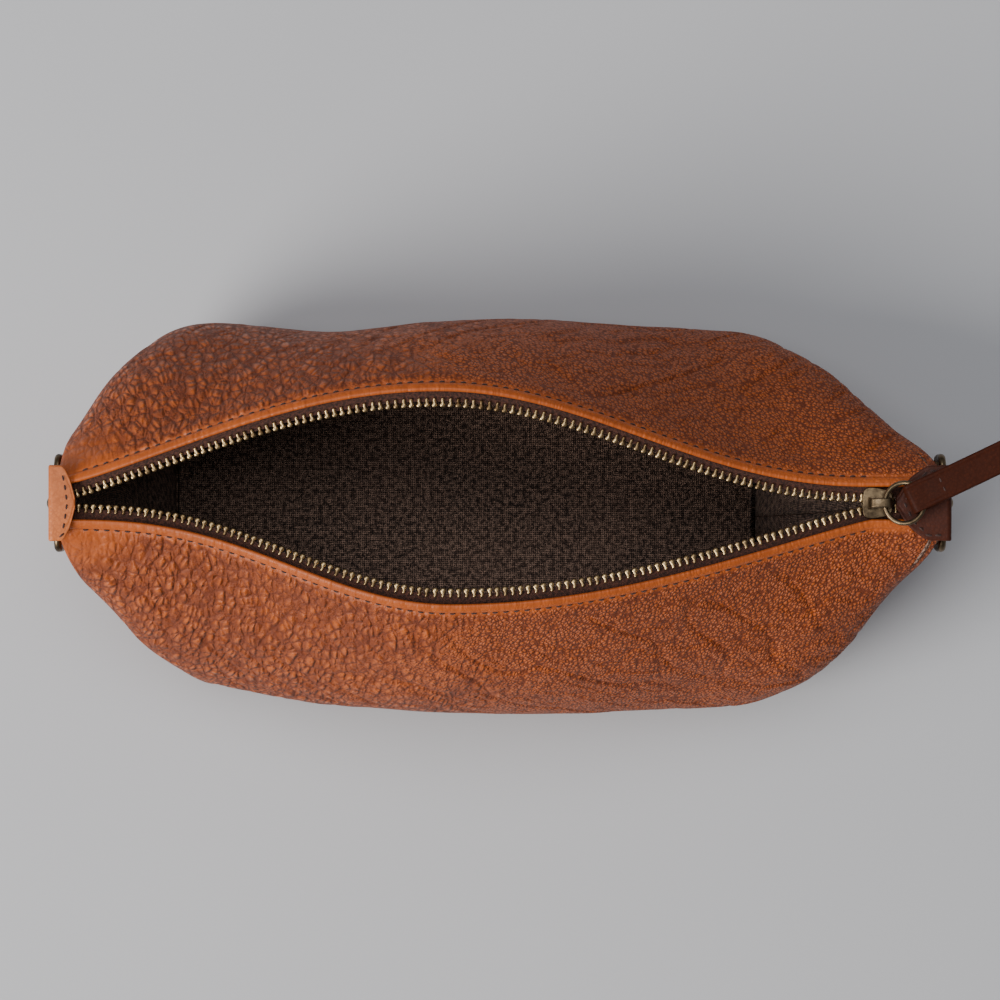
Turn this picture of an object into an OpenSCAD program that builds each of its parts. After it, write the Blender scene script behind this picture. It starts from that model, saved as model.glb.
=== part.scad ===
// Shaving kit bag: an open leather zip pouch with boxed corners, standing on its flat base.
// +X runs along the zip towards the slider, +Y is the back, +Z is up. Millimetres.
// The origin is the centre of the base's underside.

/* [Base] */
// Length of the base
base_l = 212; // [180:1:250]
// Width of the base
base_w = 112; // [95:1:135]
// Radius of the base's corners
base_r = 20; // [10:1:30]
// Thickness of the leather
leather_t = 1.6; // [1.2:0.1:2.2]
// Thickness of the board inside the base
board_t = 2; // [1:0.25:3]
// Thickness of the lining cloth
lining_t = 0.8; // [0.5:0.1:1.2]

/* [Body] */
// Height of the leather edge at the zip's ends
zip_h = 104; // [85:1:125]
// How much higher the middle of the open mouth's edge is
rim_rise = 17; // [8:1:24]
// How far the zip's left end hangs out past the base
left_hang = 29; // [20:1:45]
// How far the zip's right end hangs out past the base
right_hang = 53; // [20:1:65]
// How far the zip lies behind the base's middle
zip_y = 5; // [0:0.5:8]
// Bulge of the front wall: left end, left corner, left, right, right corner, right end
front_flare = [26, 13, 30, 34, 38, 6]; // [0:1:45]
// Bulge of the back wall at the same places
back_flare = [26, 35, 17, 32, 31, 6]; // [0:1:45]
// Height of the walls' fullest part, as the lower handle of their curve
belly_h = 45; // [30:1:55]
// Outward reach of the walls' upper curve in the middle
shoulder = 24; // [15:1:35]
// Outward reach of the walls' upper curve at the ends
shoulder_end = 18; // [10:1:22]

/* [Mouth] */
// How far the front edge is drawn forward
open_front = 34.5; // [15:0.5:40]
// How far the back edge is drawn back
open_back = 38; // [15:0.5:42]
// Place of the front edge's widest point along the zip
peak_front = -4; // [-30:1:20]
// Place of the back edge's widest point along the zip
peak_back = -8; // [-30:1:20]
// Fullness of the front edge's curve, left and right of its widest point
front_curve = [1.4, 0.55]; // [0.4:0.05:2]
// Fullness of the back edge's curve, left and right of its widest point
back_curve = [0.6, 1.1]; // [0.4:0.05:2]
// Half width of the leather gap at the zip's left and right ends
gap_end = [6.7, 6.7]; // [6.5:0.1:9]

/* [Zip] */
// Spacing of the teeth
pitch = 2.54; // [2:0.02:3]
// Length of a tooth
tooth_l = 3.2; // [2.4:0.1:3.6]
// Thickness of a tooth
tooth_t = 2.2; // [1.6:0.1:2.6]
// Thickness of the tape
tape_t = 0.6; // [0.4:0.1:0.8]
// How far the tape runs in under the leather
tape_hidden = 3.5; // [3:0.25:4.25]
// Length of the slider
slider_l = 10; // [8:0.5:13]
// Width of the slider's wide end
slider_w = 10.4; // [9.6:0.2:12]
// Thickness of the slider's plates
plate_t = 1.2; // [0.8:0.1:1.6]
// Height inside the slider's bridge
bridge_in = 4.2; // [3:0.1:5]
// Diameter of the wire of the pull ring
pull_wire = 1.6; // [1.2:0.1:2]
// Diameter of the pull ring, at the middle of its wire
pull_ring_d = 13.4; // [12:0.2:16]

/* [Pull strap] */
// Width of the strap
strap_w = 10; // [8:0.5:12]
// Length of the strap, from its fold to its end
strap_l = 41; // [25:1:50]
// Thickness of one layer of the strap's leather
strap_t = 1.3; // [1:0.1:1.8]
// Turn of the strap away from the zip's line
strap_turn = 25; // [0:1:35]
// Upward tilt of the ring and strap, where they rest over the end tab
pull_tilt = 20; // [18:1:35]

/* [End tabs] */
// Width of a tab
tab_w = 25.4; // [20:0.2:32]
// Thickness of a tab's leather
tab_t = 1.3; // [1.1:0.1:1.6]
// How far the left and right tabs reach in over the zip
tab_reach = [6, 15.5]; // [4:0.5:18]
// Height of the tab's outer face, down to the ring's bar
tab_drop = 18; // [14:0.5:24]
// Diameter of the wire of the end rings
ring_wire = 2.6; // [2:0.1:3.2]
// Depth of the end rings' opening
ring_depth = 12; // [8:0.5:18]
// Bend radius of the end rings' corners, at the middle of their wire
ring_corner = 3.2; // [2:0.2:5]
// Diameter of the rivets' heads
rivet_d = 5; // [4:0.5:7]

/* [Stitching] */
// Spacing of the stitches
stitch_pitch = 3.5; // [2.5:0.1:5]
// Length of a stitch
stitch_l = 2.3; // [1.5:0.1:2.4]
// Thickness of the thread
thread_d = 0.5; // [0.3:0.1:0.8]
// Distance of the stitches from the leather's edge
stitch_in = 2.8; // [2:0.1:4]

/* [Hidden] */
$fn = 48;
gap = 0.3;          // clearance between pieces that move past each other
skin = 0.1;         // gap between layers that lie on each other
front = -1;
back = 1;
zip_l = -base_l / 2 - left_hang;
zip_r = base_l / 2 + right_hang;
seam_z = leather_t + skin;              // height of the seam between the walls and the base
end_share = 0.09;                       // share of a wall's outline along half a base end
corner_share = 0.20;                    // the same, up to the end of the corner
wall_columns = 44;
wall_rows = 14;
stations = [0, 0.15, 0.35, 0.65, 0.85, 1];
bottom_x = zip_r - 12;                  // the zip's bottom stop
slider_rest = 4.5;                      // from the open slider to the bottom stop
slider_x = bottom_x - slider_rest - slider_l;   // the slider's wide end
mouth_r = slider_x + 3.5;                // where the mouth's edges come together in the slider
drop = 26;                              // depth of the walls' upper curve in the middle
drop_end = 10;                          // the same at the ends
lean_end = 1.5;                         // how far the upper curve leans in at the ends
chain_drop = leather_t + gap + tooth_t / 2;     // the chain's middle below the leather's top
chain_z = zip_h - chain_drop;
leather = "#9b5a38";
dark_leather = "#6b3a26";
brass = "#8f7a4c";
old_brass = "#4a4438";
cloth = "#3a302e";
thread = "#5c3422";

function ease(q) = let(c = min(max(q, 0), 1)) c * c * (3 - 2 * c);
function mix(a, b, w) = a + (b - a) * w;
function unit(v) = v / norm(v);

// A value that runs smoothly through the stations along a wall
function along(values, u, i = 0) =
    i < len(stations) - 2 && u > stations[i + 1] ? along(values, u, i + 1)
    : mix(values[i], values[i + 1], ease((u - stations[i]) / (stations[i + 1] - stations[i])));

// How open the mouth is at x, from 0 at its ends to 1 at its widest point
function opening(x, side) =
    let(peak = side == front ? peak_front : peak_back,
        curve = side == front ? front_curve : back_curve,
        span = x < peak ? peak - zip_l : mouth_r - peak,
        q = min(abs(x - peak) / span, 1))
    pow((1 + cos(180 * q)) / 2, x < peak ? curve[0] : curve[1]);
function rise_at(x, side) = rim_rise * opening(x, side);
function end_gap(x) = mix(gap_end[0], gap_end[1], (x - zip_l) / (zip_r - zip_l));
function half_gap(x, side) =
    mix(end_gap(x), side == front ? open_front : open_back, opening(x, side));

// The base's outline on one side: [x, y] and outward direction, u from the left end to the right
function base_at(u, side) =
    let(v = min(u, 1 - u), flip = u > 0.5 ? -1 : 1, hl = base_l / 2, hw = base_w / 2,
        a = 90 * min(max((v - end_share) / (corner_share - end_share), 0), 1),
        run = max(v - corner_share, 0) / (0.5 - corner_share),
        rise = (hw - base_r) * min(v / end_share, 1))
    [flip * (mix(base_r - hl, 0, run) - base_r * cos(a)), side * (rise + base_r * sin(a)),
     -flip * cos(a), side * sin(a)];
// The leather's edge at the mouth
function rim_at(u, side) =
    let(x = mix(zip_l, zip_r, min(max((u - end_share) / (1 - 2 * end_share), 0), 1)),
        k = min(min(u, 1 - u) / end_share, 1))
    [x, zip_y + side * half_gap(x, side) * k, zip_h + rise_at(x, side)];
// The four handles of a wall's curve at u, from the base up to the mouth
function handles(u, side) =
    let(b = base_at(u, side), r = rim_at(u, side), v = min(u, 1 - u),
        middle = ease(v / 0.3), nose = ease(v / end_share), out = u > 0.5 ? 1 : -1,
        flare = along(side == front ? front_flare : back_flare, u))
    [[b[0], b[1], seam_z], [b[0] + b[2] * flare, b[1] + b[3] * flare, belly_h],
     [r[0] - out * lean_end * (1 - middle), r[1] + side * mix(shoulder_end, shoulder, middle) * nose,
      r[2] - mix(drop_end, drop, middle)], r];
// A point on a wall's outer surface, t from 0 at the base to 1 at the mouth
function wall(u, t, side) =
    let(h = handles(u, side), q = 1 - t)
    h[0] * q * q * q + h[1] * 3 * t * q * q + h[2] * 3 * t * t * q + h[3] * t * t * t;
function wall_normal(u, t, side) =
    let(e = 0.002, u0 = max(u - e, 0), u1 = min(u + e, 1), t0 = max(t - e, 0), t1 = min(t + e, 1))
    side * unit(cross(wall(u, t1, side) - wall(u, t0, side), wall(u1, t, side) - wall(u0, t, side)));
// A point under the outer surface, kept on its own side of the seam at the bag's end
function wall_in(u, t, side, depth) =
    let(p = wall(u, t, side) - depth * wall_normal(u, t, side), seam_y = wall(0, t, side)[1])
    [p[0], seam_y + side * max(side * (p[1] - seam_y), skin), p[2]];
// The share t that lies a given length in from the mouth's edge
function t_in(u, side, length) =
    let(h = handles(u, side)) 1 - length / (3 * norm(h[3] - h[2]));
function u_of(x) = end_share + (1 - 2 * end_share) * (x - zip_l) / (zip_r - zip_l);
function x_of(u) = zip_l + (zip_r - zip_l) * (u - end_share) / (1 - 2 * end_share);

// A closed sheet between two grids of points
module sheet(top, bottom) {
    n = len(top);
    m = len(top[0]);
    points = [for (row = top) each row, for (row = bottom) each row];
    function id(i, j, layer) = layer * n * m + i * m + j;
    faces = [
        for (i = [0 : n - 2], j = [0 : m - 2]) each [
            [id(i, j, 0), id(i, j + 1, 0), id(i + 1, j, 0)],
            [id(i + 1, j, 0), id(i, j + 1, 0), id(i + 1, j + 1, 0)],
            [id(i, j, 1), id(i + 1, j, 1), id(i, j + 1, 1)],
            [id(i + 1, j, 1), id(i + 1, j + 1, 1), id(i, j + 1, 1)]],
        for (i = [0 : n - 2]) each [
            [id(i, 0, 0), id(i + 1, 0, 0), id(i, 0, 1)],
            [id(i + 1, 0, 0), id(i + 1, 0, 1), id(i, 0, 1)],
            [id(i, m - 1, 0), id(i, m - 1, 1), id(i + 1, m - 1, 0)],
            [id(i + 1, m - 1, 0), id(i, m - 1, 1), id(i + 1, m - 1, 1)]],
        for (j = [0 : m - 2]) each [
            [id(0, j, 0), id(0, j, 1), id(0, j + 1, 0)],
            [id(0, j + 1, 0), id(0, j, 1), id(0, j + 1, 1)],
            [id(n - 1, j, 0), id(n - 1, j + 1, 0), id(n - 1, j, 1)],
            [id(n - 1, j + 1, 0), id(n - 1, j + 1, 1), id(n - 1, j, 1)]]];
    polyhedron(points = points, faces = faces);
}

// A layer of a wall between two depths under its outer surface, from its first row to its last
module wall_layer(side, depth, thickness, first, last) {
    outer = [for (i = [0 : wall_columns]) [for (j = [first : last])
        wall_in(i / wall_columns, j / wall_rows, side, depth)]];
    inner = [for (i = [0 : wall_columns]) [for (j = [first : last])
        wall_in(i / wall_columns, j / wall_rows, side, depth + thickness)]];
    if (side == front) sheet(outer, inner);
    else sheet(inner, outer);
}

// A rounded plate as large as the base, less a margin all round
module base_plate(thickness, margin) {
    r = base_r - margin;
    linear_extrude(thickness) {
        square([base_l - 2 * base_r, base_w - 2 * margin], center = true);
        square([base_l - 2 * margin, base_w - 2 * base_r], center = true);
        for (x = [-1, 1], y = [-1, 1])
            translate([x * (base_l / 2 - base_r), y * (base_w / 2 - base_r)]) circle(r);
    }
}

module base_panel() {
    color(leather) base_plate(leather_t, 0);
}

module base_board() {
    color("#b8a88a") translate([0, 0, seam_z]) base_plate(board_t, 4);
}

module base_lining() {
    color(cloth) translate([0, 0, seam_z + board_t + skin]) base_plate(lining_t, 4);
}

module front_panel() {
    color(leather) wall_layer(front, 0, leather_t, 0, wall_rows);
}

module back_panel() {
    color(leather) wall_layer(back, 0, leather_t, 0, wall_rows);
}

module front_lining() {
    color(cloth) wall_layer(front, leather_t + skin, lining_t, 1, wall_rows - 1);
}

module back_lining() {
    color(cloth) wall_layer(back, leather_t + skin, lining_t, 1, wall_rows - 1);
}

// The line of the teeth's tips, and its direction away from the zip's middle, seen from above
function chain_at(x, side) =
    [x, zip_y + side * (half_gap(x, side) - end_gap(x) + skin), chain_z + rise_at(x, side)];
function chain_out(x, side) =
    let(d = chain_at(x + 0.5, side) - chain_at(x - 0.5, side)) side * unit([-d[1], d[0], 0]);

// A point under a wall's last row of facets, a length in from the mouth's edge
function under_edge(u, side, length, depth) =
    let(edge = wall_in(u, 1, side, depth), row = wall_in(u, 1 - 1 / wall_rows, side, depth))
    edge + unit(row - edge) * length;

// A strip of tape from the teeth's feet to its edge under the leather
module tape(side) {
    columns = [for (i = [0 : wall_columns]) i / wall_columns];
    left_x = zip_l + 3 * leather_t;             // clear of the leather at the bag's ends
    right_x = zip_r - 2 * leather_t - 3 * gap;
    xs = [left_x, for (u = columns) if (x_of(u) > left_x + 1 && x_of(u) < right_x - 1)
          x_of(u), right_x];
    tape_start = 0.4;
    depth = leather_t + gap;
    function row(x, down) =
        let(u = u_of(x), foot = chain_at(x, side) + chain_out(x, side) * (tooth_l + skin))
        [foot + [0, 0, tape_t / 2 - down],
         for (share = [0, 1])
             under_edge(u, side, tape_start + share * tape_hidden, depth + down)];
    upper = [for (x = xs) row(x, 0)];
    lower = [for (x = xs) row(x, tape_t)];
    if (side == front) sheet(lower, upper);
    else sheet(upper, lower);
}

module front_tape() {
    color(cloth) tape(front);
}

module back_tape() {
    color(cloth) tape(back);
}

// One tooth, its tip at the origin and its foot towards +Y
module tooth() {
    nub = 0.5;
    head = 0.85;
    foot = 0.6;
    translate([0, 0, -tooth_t / 2]) linear_extrude(tooth_t)
        polygon([[-nub, 0], [nub, 0], [head, 0.7], [head, 1.3], [foot, 1.7], [foot, tooth_l],
                 [-foot, tooth_l], [-foot, 1.7], [-head, 1.3], [-head, 0.7]]);
}

// Places along the chain at equal spacing
function chain_step(x, side) = norm(chain_at(x + 1, side) - chain_at(x, side));
function places(x, stop, side) =
    x > stop ? [] : concat([x], places(x + pitch / chain_step(x, side), stop, side));

// Distances from the zip's ends to its stops and its first and last teeth
top_stop_in = 4.3;
first_tooth_in = 6.6;
last_tooth_in = 2;
stop_l = 2;             // length of a stop along the zip

module teeth(side) {
    for (x = places(zip_l + first_tooth_in, bottom_x - last_tooth_in, side)) {
        out = chain_out(x, side);
        translate(chain_at(x, side)) rotate(atan2(-out[0], out[1])) tooth();
    }
}

module front_teeth() {
    color(brass) teeth(front);
}

module back_teeth() {
    color(brass) teeth(back);
}

// A small clip on each tape at the left end of the chain
module top_stop(side) {
    color(brass) translate(chain_at(zip_l + top_stop_in, side) + [0, side * tooth_l / 2, 0])
        cube([stop_l, tooth_l, tooth_t], center = true);
}

module front_top_stop() {
    top_stop(front);
}

module back_top_stop() {
    top_stop(back);
}

// The bar that joins both tapes at the right end
module bottom_stop() {
    color(brass) translate([bottom_x, zip_y, chain_z]) cube([stop_l, 2 * tooth_l, tooth_t], center = true);
}

// A stitch, lying along X on a surface that faces +Z
stitch_clear = 0.12;    // gap between a stitch and the leather

module stitch() {
    translate([-stitch_l / 2, -thread_d / 2, stitch_clear]) cube([stitch_l, thread_d, thread_d]);
}

// Lays its child on the outside of a wall at x, a length in from the mouth's edge
module on_wall(x, side, length) {
    u = u_of(x);
    t = t_in(u, side, length);
    du = 0.005;
    up = wall_normal(u, t, side);
    run = unit(wall(u + du, t, side) - wall(u - du, t, side));
    across = unit(cross(up, run));
    flat_run = cross(across, up);
    p = wall(u, t, side);
    multmatrix([[flat_run[0], across[0], up[0], p[0]], [flat_run[1], across[1], up[1], p[1]],
                [flat_run[2], across[2], up[2], p[2]], [0, 0, 0, 1]]) children();
}

module mouth_stitching(side) {
    start = zip_l + max(tab_reach[0], first_tooth_in) + 2.4;
    stop = zip_r - tab_reach[1] - 7.5;
    count = floor((stop - start) / stitch_pitch);
    color(thread) for (i = [0 : count])
        on_wall(start + i * stitch_pitch, side, stitch_in) translate([0, 0, skin]) stitch();
}

module front_stitching() {
    mouth_stitching(front);
}

module back_stitching() {
    mouth_stitching(back);
}

// The end tabs. They are drawn for the left end, with the leather's end at x = 0 and the zip's
// middle line at y = 0, and mirrored for the right end.
tab_out = 2 * tab_t + skin + gap;       // the tab's outer face, out from the leather's end
bar_shift = 0.5;                        // how far the ring's bar lies out from the tab's middle
bar_x = -gap - tab_t - skin / 2 - bar_shift;    // middle of the ring's bar
bar_z = zip_h - tab_drop;
bar_hole_r = ring_wire / 2 + gap;
bend_r = 3;                             // outer radius of the tab's upper bend
inner_h = 12;                           // height of the tab's inner layer above the bar
beyond = 20;                            // reach of the shapes that cut, past any tab

// The flap's outline, as shares of its reach and of half its width
shoulder_at = [0.35, 1];
slope_at = [0.75, 0.62];

// Underside of a flap that covers the mouth's edges up to x
function flap_z(x) = zip_h + gap + max(rise_at(x, front), rise_at(x, back));
left_flap_z = flap_z(zip_l + tab_reach[0] * slope_at[0]);
right_flap_z = flap_z(zip_r - tab_reach[1] * slope_at[0]);

module tab_profile(tab_top) {
    difference() {
        union() {
            translate([bar_x, bar_z]) circle(bar_hole_r + tab_t);
            translate([-gap - tab_t, bar_z]) square([tab_t, inner_h]);
            translate([-tab_out, bar_z]) square([tab_t, tab_top - bar_z + tab_t - bend_r]);
        }
        translate([bar_x, bar_z]) circle(bar_hole_r);
    }
    difference() {
        translate([bend_r - tab_out, tab_top + tab_t - bend_r]) circle(bend_r);
        translate([bend_r - tab_out, tab_top + tab_t - bend_r]) circle(bend_r - tab_t);
        translate([-beyond, tab_top + tab_t - bend_r - beyond]) square([2 * beyond, beyond]);
        translate([bend_r - tab_out, tab_top - beyond]) square(2 * beyond);
    }
}

module tab(reach, tab_top) {
    half = tab_w / 2;
    rotate([90, 0, 0]) linear_extrude(tab_w, center = true) tab_profile(tab_top);
    translate([0, 0, tab_top]) linear_extrude(tab_t)
        polygon([[bend_r - tab_out, -half], [reach * shoulder_at[0], -half * shoulder_at[1]],
                 [reach * slope_at[0], -half * slope_at[1]], [reach, 0],
                 [reach * slope_at[0], half * slope_at[1]], [reach * shoulder_at[0], half * shoulder_at[1]],
                 [bend_r - tab_out, half]]);
}

module at_left() {
    translate([zip_l, zip_y, 0]) children();
}

module at_right() {
    translate([zip_r, zip_y, 0]) mirror([1, 0, 0]) children();
}

module left_tab() {
    color(leather) at_left() tab(tab_reach[0], left_flap_z);
}

module right_tab() {
    color(leather) at_right() tab(tab_reach[1], right_flap_z);
}

// A rivet on the tab's outer face: a domed head
module rivet() {
    head_h = 1.6;
    z = bar_z + tab_drop / 2;
    translate([-tab_out - skin, 0, z]) rotate([0, -90, 0]) intersection() {
        sphere_r = (rivet_d * rivet_d / 4 + head_h * head_h) / (2 * head_h);
        translate([0, 0, head_h - sphere_r]) sphere(sphere_r);
        cylinder(d = rivet_d, h = head_h);
    }
}

module left_rivet() {
    color(old_brass) at_left() rivet();
}

module right_rivet() {
    color(old_brass) at_right() rivet();
}

// Stitches round the flap of a tab, a little in from its edge
module tab_stitches(reach, tab_top) {
    inset = 2;
    between = 0.9;          // gap between two stitches
    y0 = tab_w / 2 - inset;
    x0 = bend_r - tab_out + inset / 4;
    x1 = reach * shoulder_at[0] - inset / 4;
    x2 = reach * slope_at[0] - inset;
    y2 = y0 * slope_at[1];
    path = [[x0, -y0], [x1, -y0], [x2, -y2], [reach - inset * 1.3, 0], [x2, y2], [x1, y0], [x0, y0]];
    for (i = [0 : len(path) - 2]) {
        a = path[i];
        b = path[i + 1];
        count = floor(norm(b - a) / (stitch_l + between));
        if (count > 0) for (k = [0 : count - 1])
            translate([each mix(a, b, (k + 0.5) / count), tab_top + tab_t])
                rotate(atan2(b[1] - a[1], b[0] - a[0])) stitch();
    }
}

module left_tab_stitching() {
    color(thread) at_left() tab_stitches(tab_reach[0], left_flap_z);
}

module right_tab_stitching() {
    color(thread) at_right() tab_stitches(tab_reach[1], right_flap_z);
}

// A wire ring with round corners, whose upper bar runs in the tab's fold
module end_ring() {
    r = ring_wire / 2;
    side_gap = 1.3;         // gap between the tab's edge and the ring's corner
    half_y = tab_w / 2 + side_gap + r;
    half_z = (ring_depth + ring_wire) / 2;
    translate([bar_x, 0, bar_z - half_z]) rotate([90, 0, 90]) {
        for (s = [-1, 1]) {
            translate([0, s * half_z]) rotate([0, 90, 0])
                cylinder(r = r, h = 2 * (half_y - ring_corner), center = true);
            translate([s * half_y, 0]) rotate([90, 0, 0])
                cylinder(r = r, h = 2 * (half_z - ring_corner), center = true);
        }
        for (turn = [0 : 3]) {
            out_y = half_y - ring_corner;
            out_z = half_z - ring_corner;
            translate([turn == 0 || turn == 3 ? out_y : -out_y, turn < 2 ? out_z : -out_z])
                rotate(90 * turn) rotate_extrude(angle = 90) translate([ring_corner, 0]) circle(r);
        }
    }
}

module left_ring() {
    color(old_brass) at_left() end_ring();
}

module right_ring() {
    color(old_brass) at_right() end_ring();
}

// The slider. Its channel takes the teeth, and its wide end faces the open mouth.
plate_z = tooth_t / 2 + 2 * gap;        // inner face of a plate, from the chain's middle
slider_neck = 8;                        // width of its narrow end
bridge_w = 3.2;
bridge_t = 0.9;                         // thickness of the bridge's metal
ring_r = pull_ring_d / 2;
ring_x = slider_x + slider_l * 0.7;     // where the ring runs under the bridge
plate_top = chain_z + plate_z + plate_t;
ring_z = plate_top + bridge_in - pull_wire / 2 - gap;

module slider_plate() {
    chamfer = 1.5;
    half = slider_w / 2;
    waist = slider_l * 0.45;        // where the plate starts to narrow
    linear_extrude(plate_t)
        polygon([[0, chamfer - half], [chamfer, -half], [waist, -half], [slider_l, -slider_neck / 2],
                 [slider_l, slider_neck / 2], [waist, half], [chamfer, half], [0, half - chamfer]]);
}

module slider_top() {
    color(old_brass) translate([slider_x, zip_y, chain_z]) {
        translate([0, 0, plate_z]) slider_plate();
        // the wedge that parts the two rows of teeth
        wedge_x = 0.4;
        wedge_l = 2.2;
        wide = 0.5;
        translate([wedge_x, 0, -plate_z]) linear_extrude(2 * plate_z)
            polygon([[0, -wide], [wedge_l, -wide / 3], [wedge_l, 0], [0, 0]]);
    }
}

module slider_bottom() {
    color(old_brass) translate([slider_x, zip_y, chain_z - plate_z - plate_t]) slider_plate();
}

// The bridge over the ring, an arch along the slider with a round seat for the ring's wire
module slider_bridge() {
    start = 1;              // from the slider's wide end to the bridge
    foot_l = 2.4;           // length of the bridge's wide foot
    slope = 1.4;
    seat = 0.5;             // depth of the round seat
    long = slider_l - start - seat;
    top = bridge_in + bridge_t;
    ceiling = bridge_in - seat;
    color(old_brass) translate([slider_x + start, zip_y, plate_top]) rotate([90, 0, 0])
        linear_extrude(bridge_w, center = true) difference() {
            polygon([[0, 0], [0, bridge_in * 0.6], [slope, top], [long - seat, top], [long, top - seat],
                     [long, 0]]);
            polygon([[foot_l, -1], [foot_l, bridge_in * 0.7], [foot_l + seat, ceiling],
                     [long - bridge_t, ceiling], [long - bridge_t, -1]]);
            translate([ring_x - slider_x - start, ring_z - plate_top]) circle(pull_wire / 2 + gap);
        }
}

// Places the ring's middle at the origin and its plane flat
module on_pull() {
    translate([ring_x, zip_y, ring_z]) rotate([0, -pull_tilt, 0]) translate([ring_r, 0, 0]) children();
}

// The ring's wire is a little flattened on its inside and outside
module pull_ring() {
    flat = 0.1;
    color(old_brass) on_pull() rotate_extrude() translate([ring_r, 0]) intersection() {
        circle(d = pull_wire);
        square([pull_wire - 2 * flat, pull_wire], center = true);
    }
}

// The pull strap: one strip folded round the ring and sewn to itself
fold_h = pull_wire + 2 * gap;           // height of the gap in the fold
fold_in = 2.6;                          // inside of the fold, out from the ring's middle
fold_l = ring_r + pull_wire / 2 + 1 - fold_in;

module strap_outline(length) {
    end_r = 3;
    square([length - end_r, strap_w]);
    translate([0, end_r]) square([length, strap_w - 2 * end_r]);
    for (y = [end_r, strap_w - end_r]) translate([length - end_r, y]) circle(end_r);
}

module pull_strap() {
    full = fold_h / 2 + strap_t;    // half the thickness round the ring
    taper = fold_l + strap_t - 1;   // where the layers start to come together
    taper_l = 5;
    color(dark_leather) on_pull() rotate(strap_turn) translate([fold_in - strap_t, 0, 0])
        difference() {
            translate([0, -strap_w / 2, -full]) linear_extrude(2 * full) strap_outline(strap_l);
            // the gap round the ring
            translate([strap_t, -strap_w, -fold_h / 2]) cube([fold_l, 2 * strap_w, fold_h]);
            rotate([90, 0, 0]) linear_extrude(2 * strap_w, center = true) {
                // the layers taper together past the ring
                for (s = [1, -1]) polygon([
                    [taper, s * full], [taper + taper_l, s * strap_t], [strap_l + 1, s * strap_t],
                    [strap_l + 1, s * beyond], [taper, s * beyond]]);
                // the outside of the fold is rounded
                difference() {
                    translate([-1, -beyond / 2]) square([1 + full, beyond]);
                    translate([full, 0]) circle(full);
                }
            }
        }
}

module strap_stitching() {
    from_ring = 6;
    apart = 3;
    color(thread) on_pull() rotate(strap_turn) translate([fold_in + fold_l + from_ring, 0, strap_t])
        for (y = [-apart / 2, apart / 2]) translate([0, y, 0]) rotate(90) stitch();
}

base_panel();
base_board();
base_lining();
front_panel();
back_panel();
front_lining();
back_lining();
front_tape();
back_tape();
front_teeth();
back_teeth();
front_top_stop();
back_top_stop();
bottom_stop();
front_stitching();
back_stitching();
left_tab();
right_tab();
left_rivet();
right_rivet();
left_tab_stitching();
right_tab_stitching();
left_ring();
right_ring();
slider_top();
slider_bottom();
slider_bridge();
pull_ring();
pull_strap();
strap_stitching();
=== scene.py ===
"""An open leather shaving kit bag seen from straight above, on a pale floor.

Metres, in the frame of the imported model: +X runs along the zip towards the slider, +Y is the back and
+Z is up. The walls follow the same curves as the CAD walls, so every soft piece lies where its solid does.
"""

import math

import bmesh
import bpy
import numpy as np
from mathutils import Matrix, Vector


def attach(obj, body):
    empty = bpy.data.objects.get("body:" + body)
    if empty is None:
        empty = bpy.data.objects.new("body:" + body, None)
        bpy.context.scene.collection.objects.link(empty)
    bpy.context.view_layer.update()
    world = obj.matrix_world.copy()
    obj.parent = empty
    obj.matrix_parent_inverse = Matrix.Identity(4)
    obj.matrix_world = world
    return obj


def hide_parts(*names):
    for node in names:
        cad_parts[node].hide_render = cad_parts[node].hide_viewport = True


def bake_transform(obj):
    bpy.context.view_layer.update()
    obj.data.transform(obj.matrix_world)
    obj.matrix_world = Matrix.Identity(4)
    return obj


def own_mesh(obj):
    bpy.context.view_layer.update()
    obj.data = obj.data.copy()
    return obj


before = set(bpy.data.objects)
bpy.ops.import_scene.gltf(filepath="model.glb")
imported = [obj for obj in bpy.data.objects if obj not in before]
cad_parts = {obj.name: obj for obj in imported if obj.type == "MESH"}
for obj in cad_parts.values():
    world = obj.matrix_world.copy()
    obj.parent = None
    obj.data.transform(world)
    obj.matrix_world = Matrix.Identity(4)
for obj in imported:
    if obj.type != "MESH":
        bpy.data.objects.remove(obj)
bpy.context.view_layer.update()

# ---------------------------------------------------------------- sizes, in metres
MM = 0.001
FRONT, BACK = -1, 1
SIDES = {"front": FRONT, "back": BACK}

BASE_L, BASE_W, BASE_R = 212 * MM, 112 * MM, 20 * MM
LEATHER_T, BOARD_T, LINING_T = 1.6 * MM, 2 * MM, 0.8 * MM
ZIP_H, RIM_RISE = 104 * MM, 17 * MM
LEFT_HANG, RIGHT_HANG, ZIP_Y = 29 * MM, 53 * MM, 5 * MM
FLARE = {FRONT: np.array([26, 13, 30, 34, 38, 6]) * MM, BACK: np.array([26, 35, 17, 32, 31, 6]) * MM}
BELLY_H, SHOULDER, SHOULDER_END = 45 * MM, 24 * MM, 18 * MM
OPEN = {FRONT: 34.5 * MM, BACK: 38 * MM}
PEAK = {FRONT: -4 * MM, BACK: -8 * MM}
CURVE = {FRONT: (1.4, 0.55), BACK: (0.6, 1.1)}
GAP_END = (6.7 * MM, 6.7 * MM)
PITCH, TOOTH_L, TOOTH_T = 2.54 * MM, 3.2 * MM, 2.2 * MM
TAPE_T, TAPE_HIDDEN = 0.6 * MM, 3.5 * MM
SLIDER_L, SLIDER_W, SLIDER_NECK, PLATE_T = 10 * MM, 10.4 * MM, 8 * MM, 1.2 * MM
BRIDGE_IN, BRIDGE_W, PULL_WIRE, PULL_RING_D = 4.2 * MM, 3.2 * MM, 1.6 * MM, 13.4 * MM
STRAP_W, STRAP_L, STRAP_T = 10 * MM, 41 * MM, 1.3 * MM
STRAP_TURN, PULL_TILT = math.radians(25), math.radians(20)
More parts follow.
